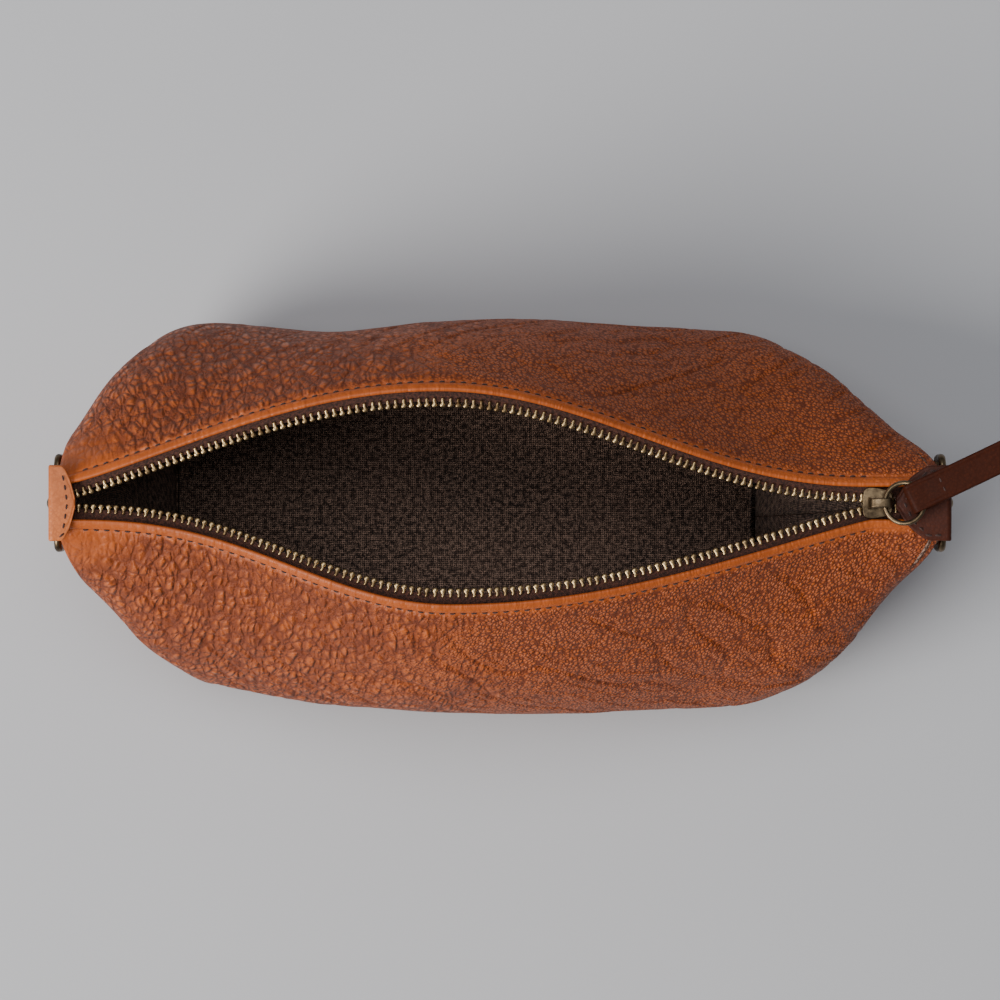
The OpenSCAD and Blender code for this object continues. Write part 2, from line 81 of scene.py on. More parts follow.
TAB_W, TAB_T, TAB_DROP = 25.4 * MM, 1.3 * MM, 18 * MM
TAB_REACH = {"left": 6 * MM, "right": 15.5 * MM}
RING_WIRE, RING_DEPTH, RING_CORNER = 2.6 * MM, 12 * MM, 3.2 * MM
STITCH_PITCH, STITCH_L, THREAD_D, STITCH_IN = 3.5 * MM, 2.3 * MM, 0.5 * MM, 2.8 * MM

GAP, SKIN = 0.3 * MM, 0.1 * MM
DROP, DROP_END, LEAN_END = 26 * MM, 10 * MM, 1.5 * MM
END_SHARE, CORNER_SHARE = 0.09, 0.20
STATIONS = np.array([0, 0.15, 0.35, 0.65, 0.85, 1])
ZIP_L, ZIP_R = -BASE_L / 2 - LEFT_HANG, BASE_L / 2 + RIGHT_HANG
SEAM_Z = LEATHER_T + SKIN
BOTTOM_X = ZIP_R - 12 * MM
SLIDER_X = BOTTOM_X - 4.5 * MM - SLIDER_L
MOUTH_R = SLIDER_X + 3.5 * MM
CHAIN_DROP = LEATHER_T + GAP + TOOTH_T / 2
CHAIN_Z = ZIP_H - CHAIN_DROP


# ---------------------------------------------------------------- small maths
def ease(q):
    c = np.clip(q, 0, 1)
    return c * c * (3 - 2 * c)


def ease_inverse(w):
    """The place from 0 to 1 where ease() has the value w."""
    return 0.5 - math.sin(math.asin(1 - 2 * min(max(w, 0.0), 1.0)) / 3)


def mix(a, b, w):
    return a + (b - a) * w


def unit(v):
    return v / np.maximum(np.linalg.norm(v, axis=-1, keepdims=True), 1e-12)


def xyz(x, y, z):
    """Points from their three coordinates, each an array or one number."""
    return np.stack(np.broadcast_arrays(x, y, z), -1)


def run_along(points):
    """The length along a path from its first point to each point."""
    return np.concatenate([[0], np.cumsum(np.linalg.norm(np.diff(points, axis=0), axis=1))])


def mirrored(points):
    """The same points in reverse, on the other side of the X axis."""
    return [(x, -y) for x, y in reversed(points)]


def bump_at(distance, width):
    return np.exp(-((distance / width) ** 2))


def noise(points, size, seed):
    """Smooth noise from -1 to 1 in cells of the given size, the same on each run."""
    n = 32
    table = np.random.default_rng(seed).uniform(-1, 1, (n, n, n))
    q = np.asarray(points) / size
    low = np.floor(q).astype(int)
    f = ease(q - low)
    total = 0
    for corner in np.ndindex(2, 2, 2):
        weight = np.prod([f[..., k] if corner[k] else 1 - f[..., k] for k in range(3)], axis=0)
        i, j, k = [(low[..., axis] + corner[axis]) % n for axis in range(3)]
        total = total + weight * table[i, j, k]
    return total


# ---------------------------------------------------------------- the walls' curves
def along(values, u):
    i = np.clip(np.searchsorted(STATIONS, u, side="left") - 1, 0, len(STATIONS) - 2)
    return mix(values[i], values[i + 1], ease((u - STATIONS[i]) / (STATIONS[i + 1] - STATIONS[i])))


def opening(x, side):
    """How open the mouth is at x, from 0 at its ends to 1 at its widest point."""
    x = np.asarray(x, float)
    peak, (left, right) = PEAK[side], CURVE[side]
    q = np.minimum(np.abs(x - peak) / np.where(x < peak, peak - ZIP_L, MOUTH_R - peak), 1)
    return ((1 + np.cos(np.pi * q)) / 2) ** np.where(x < peak, left, right)


def end_gap(x):
    return mix(*GAP_END, (x - ZIP_L) / (ZIP_R - ZIP_L))


def half_gap(x, side):
    return mix(end_gap(x), OPEN[side], opening(x, side))


def base_at(u, side):
    v, flip = np.minimum(u, 1 - u), np.where(u > 0.5, -1, 1)
    a = np.pi / 2 * np.clip((v - END_SHARE) / (CORNER_SHARE - END_SHARE), 0, 1)
    run = np.maximum(v - CORNER_SHARE, 0) / (0.5 - CORNER_SHARE)
    rise = (BASE_W / 2 - BASE_R) * np.minimum(v / END_SHARE, 1)
    x = flip * (mix(BASE_R - BASE_L / 2, 0, run) - BASE_R * np.cos(a))
    return x, side * (rise + BASE_R * np.sin(a)), -flip * np.cos(a), side * np.sin(a)


def handles(u, side):
    bx, by, nx, ny = base_at(u, side)
    rx = mix(ZIP_L, ZIP_R, np.clip((u - END_SHARE) / (1 - 2 * END_SHARE), 0, 1))
    v = np.minimum(u, 1 - u)
    ry = ZIP_Y + side * half_gap(rx, side) * np.minimum(v / END_SHARE, 1)
    rz = ZIP_H + RIM_RISE * opening(rx, side)
    middle, nose, out = ease(v / 0.3), ease(v / END_SHARE), np.where(u > 0.5, 1, -1)
    flare = along(FLARE[side], u)
    return [
        xyz(bx, by, SEAM_Z),
        xyz(bx + nx * flare, by + ny * flare, BELLY_H),
        xyz(
            rx - out * LEAN_END * (1 - middle),
            ry + side * mix(SHOULDER_END, SHOULDER, middle) * nose,
            rz - mix(DROP_END, DROP, middle),
        ),
        xyz(rx, ry, rz),
    ]


def wall(u, t, side):
    """Points on a wall's outer surface, t from 0 at the base to 1 at the mouth."""
    u, t = np.broadcast_arrays(np.asarray(u, float), np.asarray(t, float))
    h, t = handles(u, side), t[..., None]
    q = 1 - t
    return h[0] * q**3 + h[1] * 3 * t * q * q + h[2] * 3 * t * t * q + h[3] * t**3


def wall_normal(u, t, side, e=0.002):
    u0, u1 = np.maximum(u - e, 0), np.minimum(u + e, 1)
    t0, t1 = np.maximum(t - e, 0), np.minimum(t + e, 1)
    across = wall(u, t1, side) - wall(u, t0, side)
    return side * unit(np.cross(across, wall(u1, t, side) - wall(u0, t, side)))


def wall_in(u, t, side, depth):
    """Points under a wall's surface, kept on their own side of the seam at the bag's ends."""
    p = wall(u, t, side) - np.asarray(depth)[..., None] * wall_normal(u, t, side)
    seam = wall(0 * np.asarray(u), t, side)[..., 1]
    p[..., 1] = seam + side * np.maximum(side * (p[..., 1] - seam), SKIN)
    return p


def t_in(u, side, length):
    """The share t that lies a length in from the mouth's edge."""
    h = handles(np.asarray(u, float), side)
    return 1 - length / (3 * np.linalg.norm(h[3] - h[2], axis=-1))


def u_of(x):
    return END_SHARE + (1 - 2 * END_SHARE) * (x - ZIP_L) / (ZIP_R - ZIP_L)


def chain_at(x, side):
    x = np.asarray(x, float)
    y = ZIP_Y + side * (half_gap(x, side) - end_gap(x) + SKIN)
    return xyz(x, y, CHAIN_Z + RIM_RISE * opening(x, side))


def chain_out(x, side):
    d = chain_at(x + 0.5 * MM, side) - chain_at(x - 0.5 * MM, side)
    return side * unit(xyz(-d[..., 1], d[..., 0], 0))


# ---------------------------------------------------------------- materials
def linear(*screen):
    """A colour given as usual screen values from 0 to 255."""
    c = np.array(screen) / 255
    return tuple(np.where(c <= 0.04045, c / 12.92, ((c + 0.055) / 1.055) ** 2.4)) + (1.0,)


class Graph:
    """A material whose nodes are added and joined by short calls."""

    def __init__(self, name, **shader):
        self.material = bpy.data.materials.new(name)
        self.material.use_nodes = True
        self.tree = self.material.node_tree
        self.shader = self.tree.nodes["Principled BSDF"]
        for key, value in shader.items():
            self.shader.inputs[key.replace("_", " ")].default_value = value

    def add(self, kind, inputs=None, **settings):
        node = self.tree.nodes.new("ShaderNode" + kind)
        for key, value in settings.items():
            setattr(node, key, value)
        for key, value in (inputs or {}).items():
            self.join(value, node.inputs[key])
        return node

    def join(self, value, socket):
        if isinstance(value, bpy.types.NodeSocket):
            self.tree.links.new(value, socket)
        else:
            socket.default_value = value

    def math(self, operation, a, b=0.0):
        return self.add("Math", {0: a, 1: b}, operation=operation).outputs[0]

    def times(self, a, b):
        return self.math("MULTIPLY", a, b)

    def plus(self, a, b):
        return self.math("ADD", a, b)

    def less(self, a, b):
        return self.math("SUBTRACT", a, b)

    def range(self, value, low, high, to_low=0.0, to_high=1.0, smooth=False):
        kind = "SMOOTHSTEP" if smooth else "LINEAR"
        inputs = {"Value": value, "From Min": low, "From Max": high, "To Min": to_low, "To Max": to_high}
        return self.add("MapRange", inputs, interpolation_type=kind).outputs[0]

    def colour_mix(self, factor, a, b):
        return self.add("Mix", {0: factor, 6: a, 7: b}, data_type="RGBA").outputs[2]

    def mix(self, factor, a, b):
        return self.add("Mix", {0: factor, 2: a, 3: b}, data_type="FLOAT").outputs[0]

    def noise(self, vector, scale, detail=3.0, rough=0.5):
        inputs = {"Vector": vector, "Scale": scale, "Detail": detail, "Roughness": rough}
        return self.add("TexNoise", inputs).outputs["Fac"]

    def cells(self, vector, scale, feature="DISTANCE_TO_EDGE"):
        inputs = {"Vector": vector, "Scale": scale}
        return self.add("TexVoronoi", inputs, feature=feature).outputs["Distance"]

    def stretch(self, vector, x=1.0, y=1.0, z=1.0, turn=0.0):
        inputs = {"Vector": vector, "Scale": (x, y, z), "Rotation": (0.0, 0.0, turn)}
        return self.add("Mapping", inputs).outputs[0]

    def warp(self, vector, scale, amount):
        """The vector pushed about by noise, so that cells lose their straight edges."""
        push = self.add("TexNoise", {"Vector": vector, "Scale": scale, "Detail": 2.0}).outputs["Color"]
        centred = self.add("VectorMath", {0: push, 1: (0.5, 0.5, 0.5)}, operation="SUBTRACT").outputs[0]
        scaled = self.add("VectorMath", {0: centred, "Scale": amount}, operation="SCALE").outputs[0]
        return self.add("VectorMath", {0: vector, 1: scaled}, operation="ADD").outputs[0]

    def finish(self, colour=None, height=None, depth=0.0002, rough=None):
        if colour is not None:
            self.join(colour, self.shader.inputs["Base Color"])
        if rough is not None:
            self.join(rough, self.shader.inputs["Roughness"])
        if height is not None:
            bump = self.add("Bump", {"Height": height, "Distance": depth})
            self.join(bump.outputs[0], self.shader.inputs["Normal"])
        return self.material


def place_of(graph):
    """The stored place on a piece's own surface, its distance along, and the amount of grain."""
    stored = graph.add("Attribute", attribute_name="surface").outputs["Vector"]
    split = graph.add("SeparateXYZ", {0: stored}).outputs
    flat = graph.add("CombineXYZ", {0: split[0], 1: split[1]}).outputs[0]
    return flat, split[0], split[2]


def leather_material(name, colours, coarse, fine, rough, grain_depth=0.0012, gloss=0.34):
    """Pebbled leather: pillowed grains of two sizes, creases that join their hollows, painted shade in the
    hollows and creases, and rubbed crowns.
    """
    base, dark, light = (linear(*c) for c in colours)
    g = Graph(name, Coat_Weight=0.04, Coat_Roughness=0.3, Specular_IOR_Level=gloss)
    flat, along_it, grain = place_of(g)
    slant = g.stretch(g.warp(flat, 120.0, 0.0022), 1.0, 0.6, 1.0, -0.7)
    loose = g.warp(flat, 300.0, 0.0006)
    drift = g.plus(g.times(along_it, 6.0), g.noise(flat, 26.0, 1.0))
    choice = g.range(drift, 0.0, 0.7, smooth=True)

    def pillows(vector, scale):
        edge = g.range(g.cells(vector, scale), 0.0, 0.32, smooth=True)
        dome = g.range(g.cells(vector, scale, "F1"), 0.8, 0.0, smooth=True)
        return g.plus(g.times(edge, 0.45), g.times(dome, 0.55))

    big, small = pillows(slant, coarse), pillows(loose, fine)
    big = g.plus(g.times(big, 0.85), g.times(small, 0.15))
    pillow = g.mix(choice, big, g.times(small, 0.5))
    # creases that run down the wall's slant and gather the hollows into rows
    rows = g.stretch(g.warp(flat, 70.0, 0.0035), 250.0, 66.0, 1.0, -0.75)
    crease = g.range(g.cells(rows, 1.0), 0.0, 0.22, smooth=True)
    reach = g.times(grain, g.range(choice, 0.0, 1.0, 1.0, 0.35))
    swell = g.noise(flat, 150.0, 1.0)
    pores = g.noise(flat, 2400.0, 2.0, 0.6)
    relief = g.plus(g.times(pillow, grain), g.times(pores, 0.035))
    relief = g.plus(relief, g.times(g.times(crease, reach), 0.35))
    relief = g.plus(relief, g.times(swell, 0.4))
    # colour: painted shade darkens the hollows and creases; blotches from the dye; paler where the grain is
    # rubbed
    blotch = g.noise(flat, 14.0, 3.0, 0.6)
    speck = g.noise(flat, 1100.0, 2.0, 0.65)
    tone = g.colour_mix(g.range(blotch, 0.30, 0.66), g.colour_mix(0.35, base, dark), base)
    tone = g.colour_mix(g.range(speck, 0.5, 0.8, 0.0, 0.25), tone, light)
    # painted shade: the hollows between the pebbles and the gathered creases are darkened in the colour
    hollow = g.times(g.range(pillow, g.mix(choice, 0.62, 0.26), 0.05), grain)
    gathered = g.times(g.less(1.0, crease), reach)
    hollow = g.math("MAXIMUM", hollow, g.times(gathered, 0.8))
    tone = g.colour_mix(g.times(hollow, 0.85), tone, dark)
    shine = g.mix(hollow, g.range(speck, 0.3, 0.7, rough - 0.05, rough + 0.08), rough + 0.25)
    return g.finish(tone, relief, grain_depth, shine)


def cloth_material(name, colours, pitch, rough, sheen, depth=0.00012, mottle=0.5):
    """A twill: slanted threads over and under each other, with painted shade where the threads dip, flecked
    where the yarn's colour changes.
    """
    base, dark, light = (linear(*c) for c in colours)
    g = Graph(name, Sheen_Weight=sheen, Sheen_Roughness=0.5, Specular_IOR_Level=0.2)
    flat = place_of(g)[0]
    loose = g.warp(flat, 500.0, pitch * 0.5)
    split = g.add("SeparateXYZ", {0: loose}).outputs
    turn = 2 * math.pi / pitch
    slope = g.plus(split[0], split[1])
    counter = g.less(split[0], split[1])
    warp_thread = g.math("SINE", g.times(slope, turn))
    weft_thread = g.math("SINE", g.times(counter, turn))
    thread = g.range(g.times(warp_thread, weft_thread), -0.7, 0.7)
    fuzz = g.noise(flat, 3000.0, 2.0, 0.7)
    fleck = g.range(g.noise(flat, 0.9 / pitch, 2.0, 0.8), 0.4, 0.6)
    cloud = g.noise(flat, 30.0, 3.0)
    tone = g.colour_mix(g.range(cloud, 0.3, 0.7, 0.3, 1.0), dark, base)
    tone = g.colour_mix(g.times(fleck, mottle), tone, light)
    # painted shade: darker where the threads dip under each other
    showing = g.times(thread, g.range(fleck, 0.0, 1.0, 0.6, 1.0))
    tone = g.colour_mix(g.range(showing, 0.5, 0.0, 0.0, 0.9), tone, dark)
    relief = g.plus(thread, g.times(fuzz, 0.5))
    return g.finish(tone, relief, depth, rough)


def metal_material(name, base, tarnish, rough, wear):
    """Plated metal, clouded by tarnish and finely scratched."""
    g = Graph(name, Metallic=1.0)
    where = g.add("TexCoord").outputs["Object"]
    cloud = g.noise(where, 180.0, 4.0, 0.65)
    fine = g.noise(where, 2400.0, 3.0, 0.6)
    scratch = g.noise(g.stretch(where, 400.0, 4000.0, 4000.0), 1.0, 2.0)
    tone = g.colour_mix(g.range(cloud, 0.42, 0.68), base, tarnish)
    tone = g.colour_mix(g.range(fine, 0.55, 0.8, 0.0, wear), tone, tarnish)
    shine = g.mix(g.range(cloud, 0.35, 0.7), rough, rough + 0.2)
    relief = g.plus(g.times(fine, 0.6), g.times(scratch, 0.3))
    return g.finish(tone, relief, 0.00003, shine)


def thread_material(name, base, dark):
    """Waxed thread, its strands twisted together, with painted shade in the grooves between them."""
    g = Graph(name, Sheen_Weight=0.2, Specular_IOR_Level=0.4)
    where = g.add("TexCoord").outputs["Object"]
    split = g.add("SeparateXYZ", {0: where}).outputs
    slant = g.plus(g.plus(split[0], split[1]), split[2])
    twist = g.range(g.math("SINE", g.times(slant, 9000.0)), -1.0, 1.0)
    fuzz = g.noise(where, 4000.0)
    # painted shade: darker in the grooves between the twisted strands
    tone = g.colour_mix(g.times(twist, g.range(fuzz, 0.2, 0.8)), dark, base)
    return g.finish(tone, twist, 0.00006, 0.62)


def board_material(name):
    """Grey-brown fibre board."""
    g = Graph(name)
    where = g.add("TexCoord").outputs["Object"]
    fibre = g.noise(g.stretch(where, 300.0, 900.0, 900.0), 1.0, 5.0, 0.7)
    tone = g.colour_mix(fibre, linear(120, 100, 74), linear(176, 156, 122))
    return g.finish(tone, fibre, 0.0001, 0.85)


def floor_material():
    """Pale painted board with a faint unevenness."""
    g = Graph("floor", Specular_IOR_Level=0.25)
    where = g.add("TexCoord").outputs["Object"]
    cloud = g.noise(where, 3.0, 3.0)
    tone = g.colour_mix(cloud, linear(184, 184, 187), linear(192, 192, 194))
    return g.finish(tone, g.noise(where, 700.0), 0.00002, 0.75)


# each leather: its colour, its darker colour for dye blotches and painted shade in the hollows, its rubbed
# crowns, its cells to the metre, coarse and fine, its roughness, relief and gloss
TAN = leather_material("tan_leather", ((184, 88, 28), (84, 30, 7), (226, 134, 66)), 360.0, 760.0, 0.42)
# painted light and shade: one smooth leather in two copies, the left tab's lighter as if lit and the right
# tab's darker as if in shade
TAB_LEATHER_LIT_AND_SHADED = {
    "left": leather_material(
        "tab_leather", ((200, 108, 50), (120, 52, 18), (230, 150, 92)), 460.0, 820.0, 0.42, 0.00025
    ),
    "right": leather_material(
        "tab_leather_painted_shade", ((70, 28, 11), (38, 14, 7), (120, 58, 28)), 460.0, 820.0, 0.5, 0.00025, 0.22
    ),
}
STRAP = leather_material(
    "strap_leather", ((58, 23, 10), (32, 12, 6), (100, 48, 25)), 560.0, 980.0, 0.62, 0.0002, 0.06
)
# each cloth: its yarn, its darker colour for clouding and painted shade in the gaps, its flecks, the weave's
# pitch, roughness, sheen, relief and mottling
LINING = cloth_material(
    "lining", ((108, 82, 70), (18, 13, 13), (206, 168, 146)), 1.5 * MM, 0.85, 0.1, 0.0005, 0.75
)
TAPE = cloth_material("zip_tape", ((60, 34, 26), (24, 13, 11), (120, 72, 54)), 0.9 * MM, 0.7, 0.1)
BRASS = metal_material("brass_teeth", linear(190, 162, 118), linear(84, 62, 40), 0.26, 0.7)
OLD_BRASS = metal_material("antique_brass", linear(120, 102, 78), linear(46, 36, 28), 0.28, 0.6)
THREAD = thread_material("thread", linear(84, 40, 22), linear(36, 16, 10))
BOARD = board_material("board")


# ---------------------------------------------------------------- meshes
def loop_faces(n, m, ring=False):
    """Faces round n closed loops of m points; a ring joins the last loop to the first."""
    i, j = np.meshgrid(np.arange(n if ring else n - 1), np.arange(m), indexing="ij")
    i1, j1 = (i + 1) % n, (j + 1) % m
    return np.stack([i * m + j, i * m + j1, i1 * m + j1, i1 * m + j], -1).reshape(-1, 4)


def tube_faces(n, m):
    """Faces round n closed loops of m points, with a cap at each end."""
    faces = [tuple(f) for f in loop_faces(n, m)]
    return faces + [tuple(range(m)), tuple(range((n - 1) * m, n * m))]


def make_mesh(name, points, faces, surface=None):
    """A smooth-shaded mesh, with a place on its surface stored for each point."""
    mesh = bpy.data.meshes.new(name)
    mesh.from_pydata(np.asarray(points).reshape(-1, 3).tolist(), [], [tuple(f) for f in faces])
    mesh.validate()
    mesh.update()
    if surface is not None:
        layer = mesh.attributes.new("surface", "FLOAT_VECTOR", "POINT")
        layer.data.foreach_set("vector", np.asarray(surface, np.float32).reshape(-1))
    bm = bmesh.new()
    bm.from_mesh(mesh)
    bmesh.ops.recalc_face_normals(bm, faces=bm.faces)
    bm.to_mesh(mesh)
    bm.free()
    mesh.polygons.foreach_set("use_smooth", np.ones(len(mesh.polygons), bool))
    return mesh


def place(name, mesh, material, slot):
    """A shown object of that mesh, with its material. The slot is not used."""
    obj = bpy.data.objects.new(name, mesh)
    bpy.context.scene.collection.objects.link(obj)
    mesh.materials.clear()
    mesh.materials.append(material)
    return obj


def show(name, mesh, material, slot, body, *nodes):
    """Places a piece that rides on one body and stands for the CAD nodes."""
    piece = place(name, mesh, material, slot)
    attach(piece, body)
    if nodes:
        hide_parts(*nodes)
    return piece


def tube_mesh(name, loops, surface=None):
    """A closed skin over a row of closed loops of points, with a cap at each end."""
    loops = np.asarray(loops)
    return make_mesh(name, loops, tube_faces(*loops.shape[:2]), surface)


def sheet_mesh(name, upper, lower, surface):
    """A closed sheet between two grids of points."""
    upper, lower, surface = np.asarray(upper), np.asarray(lower), np.asarray(surface)
    loops = np.concatenate([upper, lower[:, ::-1]], axis=1)
    places = np.concatenate([surface, surface[:, ::-1]], axis=1)
    return tube_mesh(name, loops, places)


def keep_shading(mesh):
    """Stores each point's normal, so that the shading runs on where the mesh is cut."""
    normals = np.empty(len(mesh.vertices) * 3, np.float32)
    mesh.vertex_normals.foreach_get("vector", normals)
    mesh.attributes.new("shade", "FLOAT_VECTOR", "POINT").data.foreach_set("vector", normals)


def cut_mesh(name, mesh, cuts):
    """A copy of the mesh that keeps what lies on the side each cut's direction points to."""
    bm = bmesh.new()
    bm.from_mesh(mesh)
    for point, direction in cuts:
        everything = bm.verts[:] + bm.edges[:] + bm.faces[:]
        cut = bmesh.ops.bisect_plane(
            bm, geom=everything, dist=1e-7, plane_co=point, plane_no=direction, clear_inner=True
        )
        edges = [e for e in cut["geom_cut"] if isinstance(e, bmesh.types.BMEdge) and e.is_boundary]
        bmesh.ops.holes_fill(bm, edges=edges, sides=0)
    new = bpy.data.meshes.new(name)
    bm.to_mesh(new)
    bm.free()
    normals = np.empty(len(new.vertices) * 3, np.float32)
    new.attributes["shade"].data.foreach_get("vector", normals)
    new.normals_split_custom_set_from_vertices(unit(normals.reshape(-1, 3)).tolist())
    new.attributes.remove(new.attributes["shade"])
    return new


def copies(template, places, axes):
    """The template's points at each place, with its X, Y and Z turned to that place's axes."""
    return np.asarray(places)[:, None, :] + np.einsum("pk,nkd->npd", np.asarray(template), np.asarray(axes))


def many_mesh(name, template, faces, places, axes):
    """One mesh of a template's copies, each at its own place."""
    points = copies(template, places, axes)
    count, size = points.shape[:2]
    all_faces = [tuple(v + k * size for v in f) for k in range(count) for f in faces]
    return make_mesh(name, points, all_faces)


def round_loop(radius_a, radius_b, count, power=2.0):
    """A rounded loop of points in two directions; a higher power is squarer."""
    a = np.arange(count) / count * 2 * np.pi
    ring = np.stack([np.cos(a), np.sin(a)], -1)
    return np.sign(ring) * np.abs(ring) ** (2 / power) * (radius_a, radius_b)


# ---------------------------------------------------------------- leather walls
COLUMNS = 400
EDGE_ROWS = np.array([0, 0.4, 0.8, 1.2, 1.6, 2.0, 2.3, 2.55, 2.8, 3.05, 3.3, 3.7, 4.2, 4.8, 5.6, 6.5]) * MM
BODY_ROWS = 140
INNER_ROWS = 22
BEAD_STEPS = 6


def wall_columns(side, count):
    """Shares u that are evenly spaced round the wall at half its height."""
    dense = np.linspace(0, 1, 2001)
    p = wall(dense, 0.5 + 0 * dense, side)
    run = run_along(p)
    return np.interp(np.linspace(0, run[-1], count), run, dense)


def wall_shares(us, side, rows_from_edge, rows):
    """For each column, the shares t of the rows near the edge and of the rest down to the base."""
    dense = np.linspace(1, 0, 161)
    p = wall(us[:, None], dense[None, :], side)
    run = np.cumsum(np.linalg.norm(np.diff(p, axis=1), axis=2), axis=1)
    run = np.concatenate([np.zeros((len(us), 1)), run], axis=1)
    shares, lengths = [], []
    for k in range(len(us)):
        rest = np.linspace(rows_from_edge[-1], run[k, -1], rows + 1)[1:]
        at = np.concatenate([rows_from_edge, rest])
        lengths.append(at)
        shares.append(np.interp(at, run[k], dense))
    return np.array(shares), np.array(lengths)


def surface_places(points, lengths, grain):
    """Each point's place on the flat hide: along the wall, down from its edge, and its grain."""
    step = np.linalg.norm(np.diff(points, axis=0), axis=2)
    run = np.concatenate([np.zeros((1, points.shape[1])), np.cumsum(step, axis=0)])
    return xyz(run - run[len(run) // 2], -lengths, grain)


def leather_wall(side):
    us = wall_columns(side, COLUMNS)
    t, down = wall_shares(us, side, EDGE_ROWS, BODY_ROWS)
    u = us[:, None] + 0 * t
    p, n = wall(u, t, side), wall_normal(u, t, side)
    up_from_base = down[:, -1:] - down
    from_seam = np.linalg.norm(p - wall(np.round(u), t, side), axis=2)
    calm = ease((down - 4 * MM) / (14 * MM)) * ease(up_from_base / (16 * MM)) * ease(from_seam / (14 * MM))
    calm *= 0.1 + 0.9 * ease(np.abs(np.minimum(u, 1 - u) - END_SHARE) / 0.05)
    lift = 0.30 * MM * bump_at(down - 1.3 * MM, 1.1 * MM)
    lift -= 0.34 * MM * bump_at(down - STITCH_IN, 0.45 * MM)
    lift += 0.30 * MM * bump_at(down - 6.5 * MM, 2.6 * MM)
    lift += calm * (1.0 * MM * noise(p, 38 * MM, 3) + 0.5 * MM * noise(p, 15 * MM, 4))
    slant = xyz(p[..., 0] + p[..., 2], (p[..., 0] - p[..., 2]) * 0.35, p[..., 1])
    for size, depth, seed in ((16 * MM, 0.75 * MM, 8), (8 * MM, 0.4 * MM, 9)):
        fold = 1 - np.abs(noise(slant, size, seed))
        lift -= calm * depth * np.clip((fold - 0.86) / 0.14, 0, 1) ** 1.5
    # short pleats where the edge's stitching gathers the hide
    gather = noise(xyz(p[..., 0], 0, down * 0.2), 3.2 * MM, 12)
    lift += 0.22 * MM * gather * ease((down - 3 * MM) / (2 * MM)) * (1 - ease((down - 8 * MM) / (12 * MM)))
    lift -= 0.9 * MM * bump_at(from_seam, 1.6 * MM)
    lift += 0.35 * MM * bump_at(from_seam - 4 * MM, 2.0 * MM)
    lift -= 0.5 * MM * bump_at(up_from_base, 1.5 * MM)
    outer = p + n * np.maximum(lift, -0.9 * MM)[..., None]
    outer[..., 1] = np.where(from_seam < 1e-6, p[..., 1], outer[..., 1])

    tip = unit(wall(us, 1.0, side) - wall(us, 0.99, side))
    middle = p[:, 0] - n[:, 0] * LEATHER_T / 2
    bead = [
        middle + LEATHER_T / 2 * (n[:, 0] * math.cos(a) + tip * math.sin(a))
        for a in np.linspace(0, np.pi, BEAD_STEPS + 2)[1:-1]
    ]
    inner_t = np.linspace(1, 0, INNER_ROWS)
    inner = wall_in(us[:, None], inner_t[None, :], side, LEATHER_T)
    loops = np.concatenate([outer[:, ::-1], np.stack(bead, 1), inner], axis=1)

    left_patch = ease((np.linalg.norm(p - np.array([ZIP_L, ZIP_Y, ZIP_H]), axis=2) - 16 * MM) / (20 * MM))
    grain = (0.22 + 0.78 * ease((down - 2.6 * MM) / (2.4 * MM))) * (0.25 + 0.75 * left_patch)
    places = surface_places(p, down, grain)
    edge_place = np.repeat(places[:, :1], BEAD_STEPS, axis=1)
    inner_place = np.repeat(places[:, :1], INNER_ROWS, axis=1) + 0
    inner_place[..., 1] += np.linspace(0, 0.15, INNER_ROWS)
    return loops, np.concatenate([places[:, ::-1], edge_place, inner_place], axis=1)


def draw_plane(side):
    """A point on that plane, and its outward direction: against the edge's own way in."""
    inward = np.array([0, -side * (OPEN[side] - end_gap(PEAK[side])), -RIM_RISE])
    return (0.0, float(ZIP_Y + side * GAP_END[0]), ZIP_H), tuple(float(v) for v in -unit(inward))


def draw_in(name, mesh, side, material, slot, *nodes):
    """Cuts a wall's piece where the closing plane meets it, into an outer part and a foot."""
    point, out = draw_plane(side)
    keep_shading(mesh)
    upper = show(name, cut_mesh(name, mesh, [(point, out)]), material, slot, "root", *nodes)
    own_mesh(upper)
    back = tuple(-v for v in out)
    lower = show(name + "_foot", cut_mesh(name + "_foot", mesh, [(point, back)]), material, slot, "root")
    return upper, lower


for word, side in SIDES.items():
    loops, places = leather_wall(side)
    mesh = tube_mesh(word + "_leather", loops, places)
    draw_in(word + "_leather", mesh, side, TAN, "tan_leather", word + "_panel")


# ---------------------------------------------------------------- lining
def lining_wall(side):
    us = wall_columns(side, 220)
    t, down = wall_shares(us, side, np.array([5.5, 6.5, 8, 10]) * MM, 70)
    u = us[:, None] + 0 * t
    depth = LEATHER_T + 0.4 * MM + 0.6 * MM * (1 - ease((down - 6 * MM) / (5 * MM)))
    outer = wall_in(u, t, side, depth)
    calm = ease((down - 8 * MM) / (10 * MM)) * ease((down[:, -1:] - down) / (10 * MM))
    p = wall(u, t, side)
    tall = p * np.array([1, 1, 0.35])
    puff = 1.4 * MM * np.abs(noise(tall, 26 * MM, 21)) + 0.8 * MM * np.abs(noise(tall, 11 * MM, 22))
    inner = wall_in(u, t, side, depth + LINING_T + calm * puff)
    return outer, inner, surface_places(p, down, 1)


for word, side in SIDES.items():
    outer, inner, places = lining_wall(side)
    mesh = sheet_mesh(word + "_lining_cloth", outer, inner, places)
    hung, foot = draw_in(word + "_lining_cloth", mesh, side, LINING, "lining", word + "_lining")


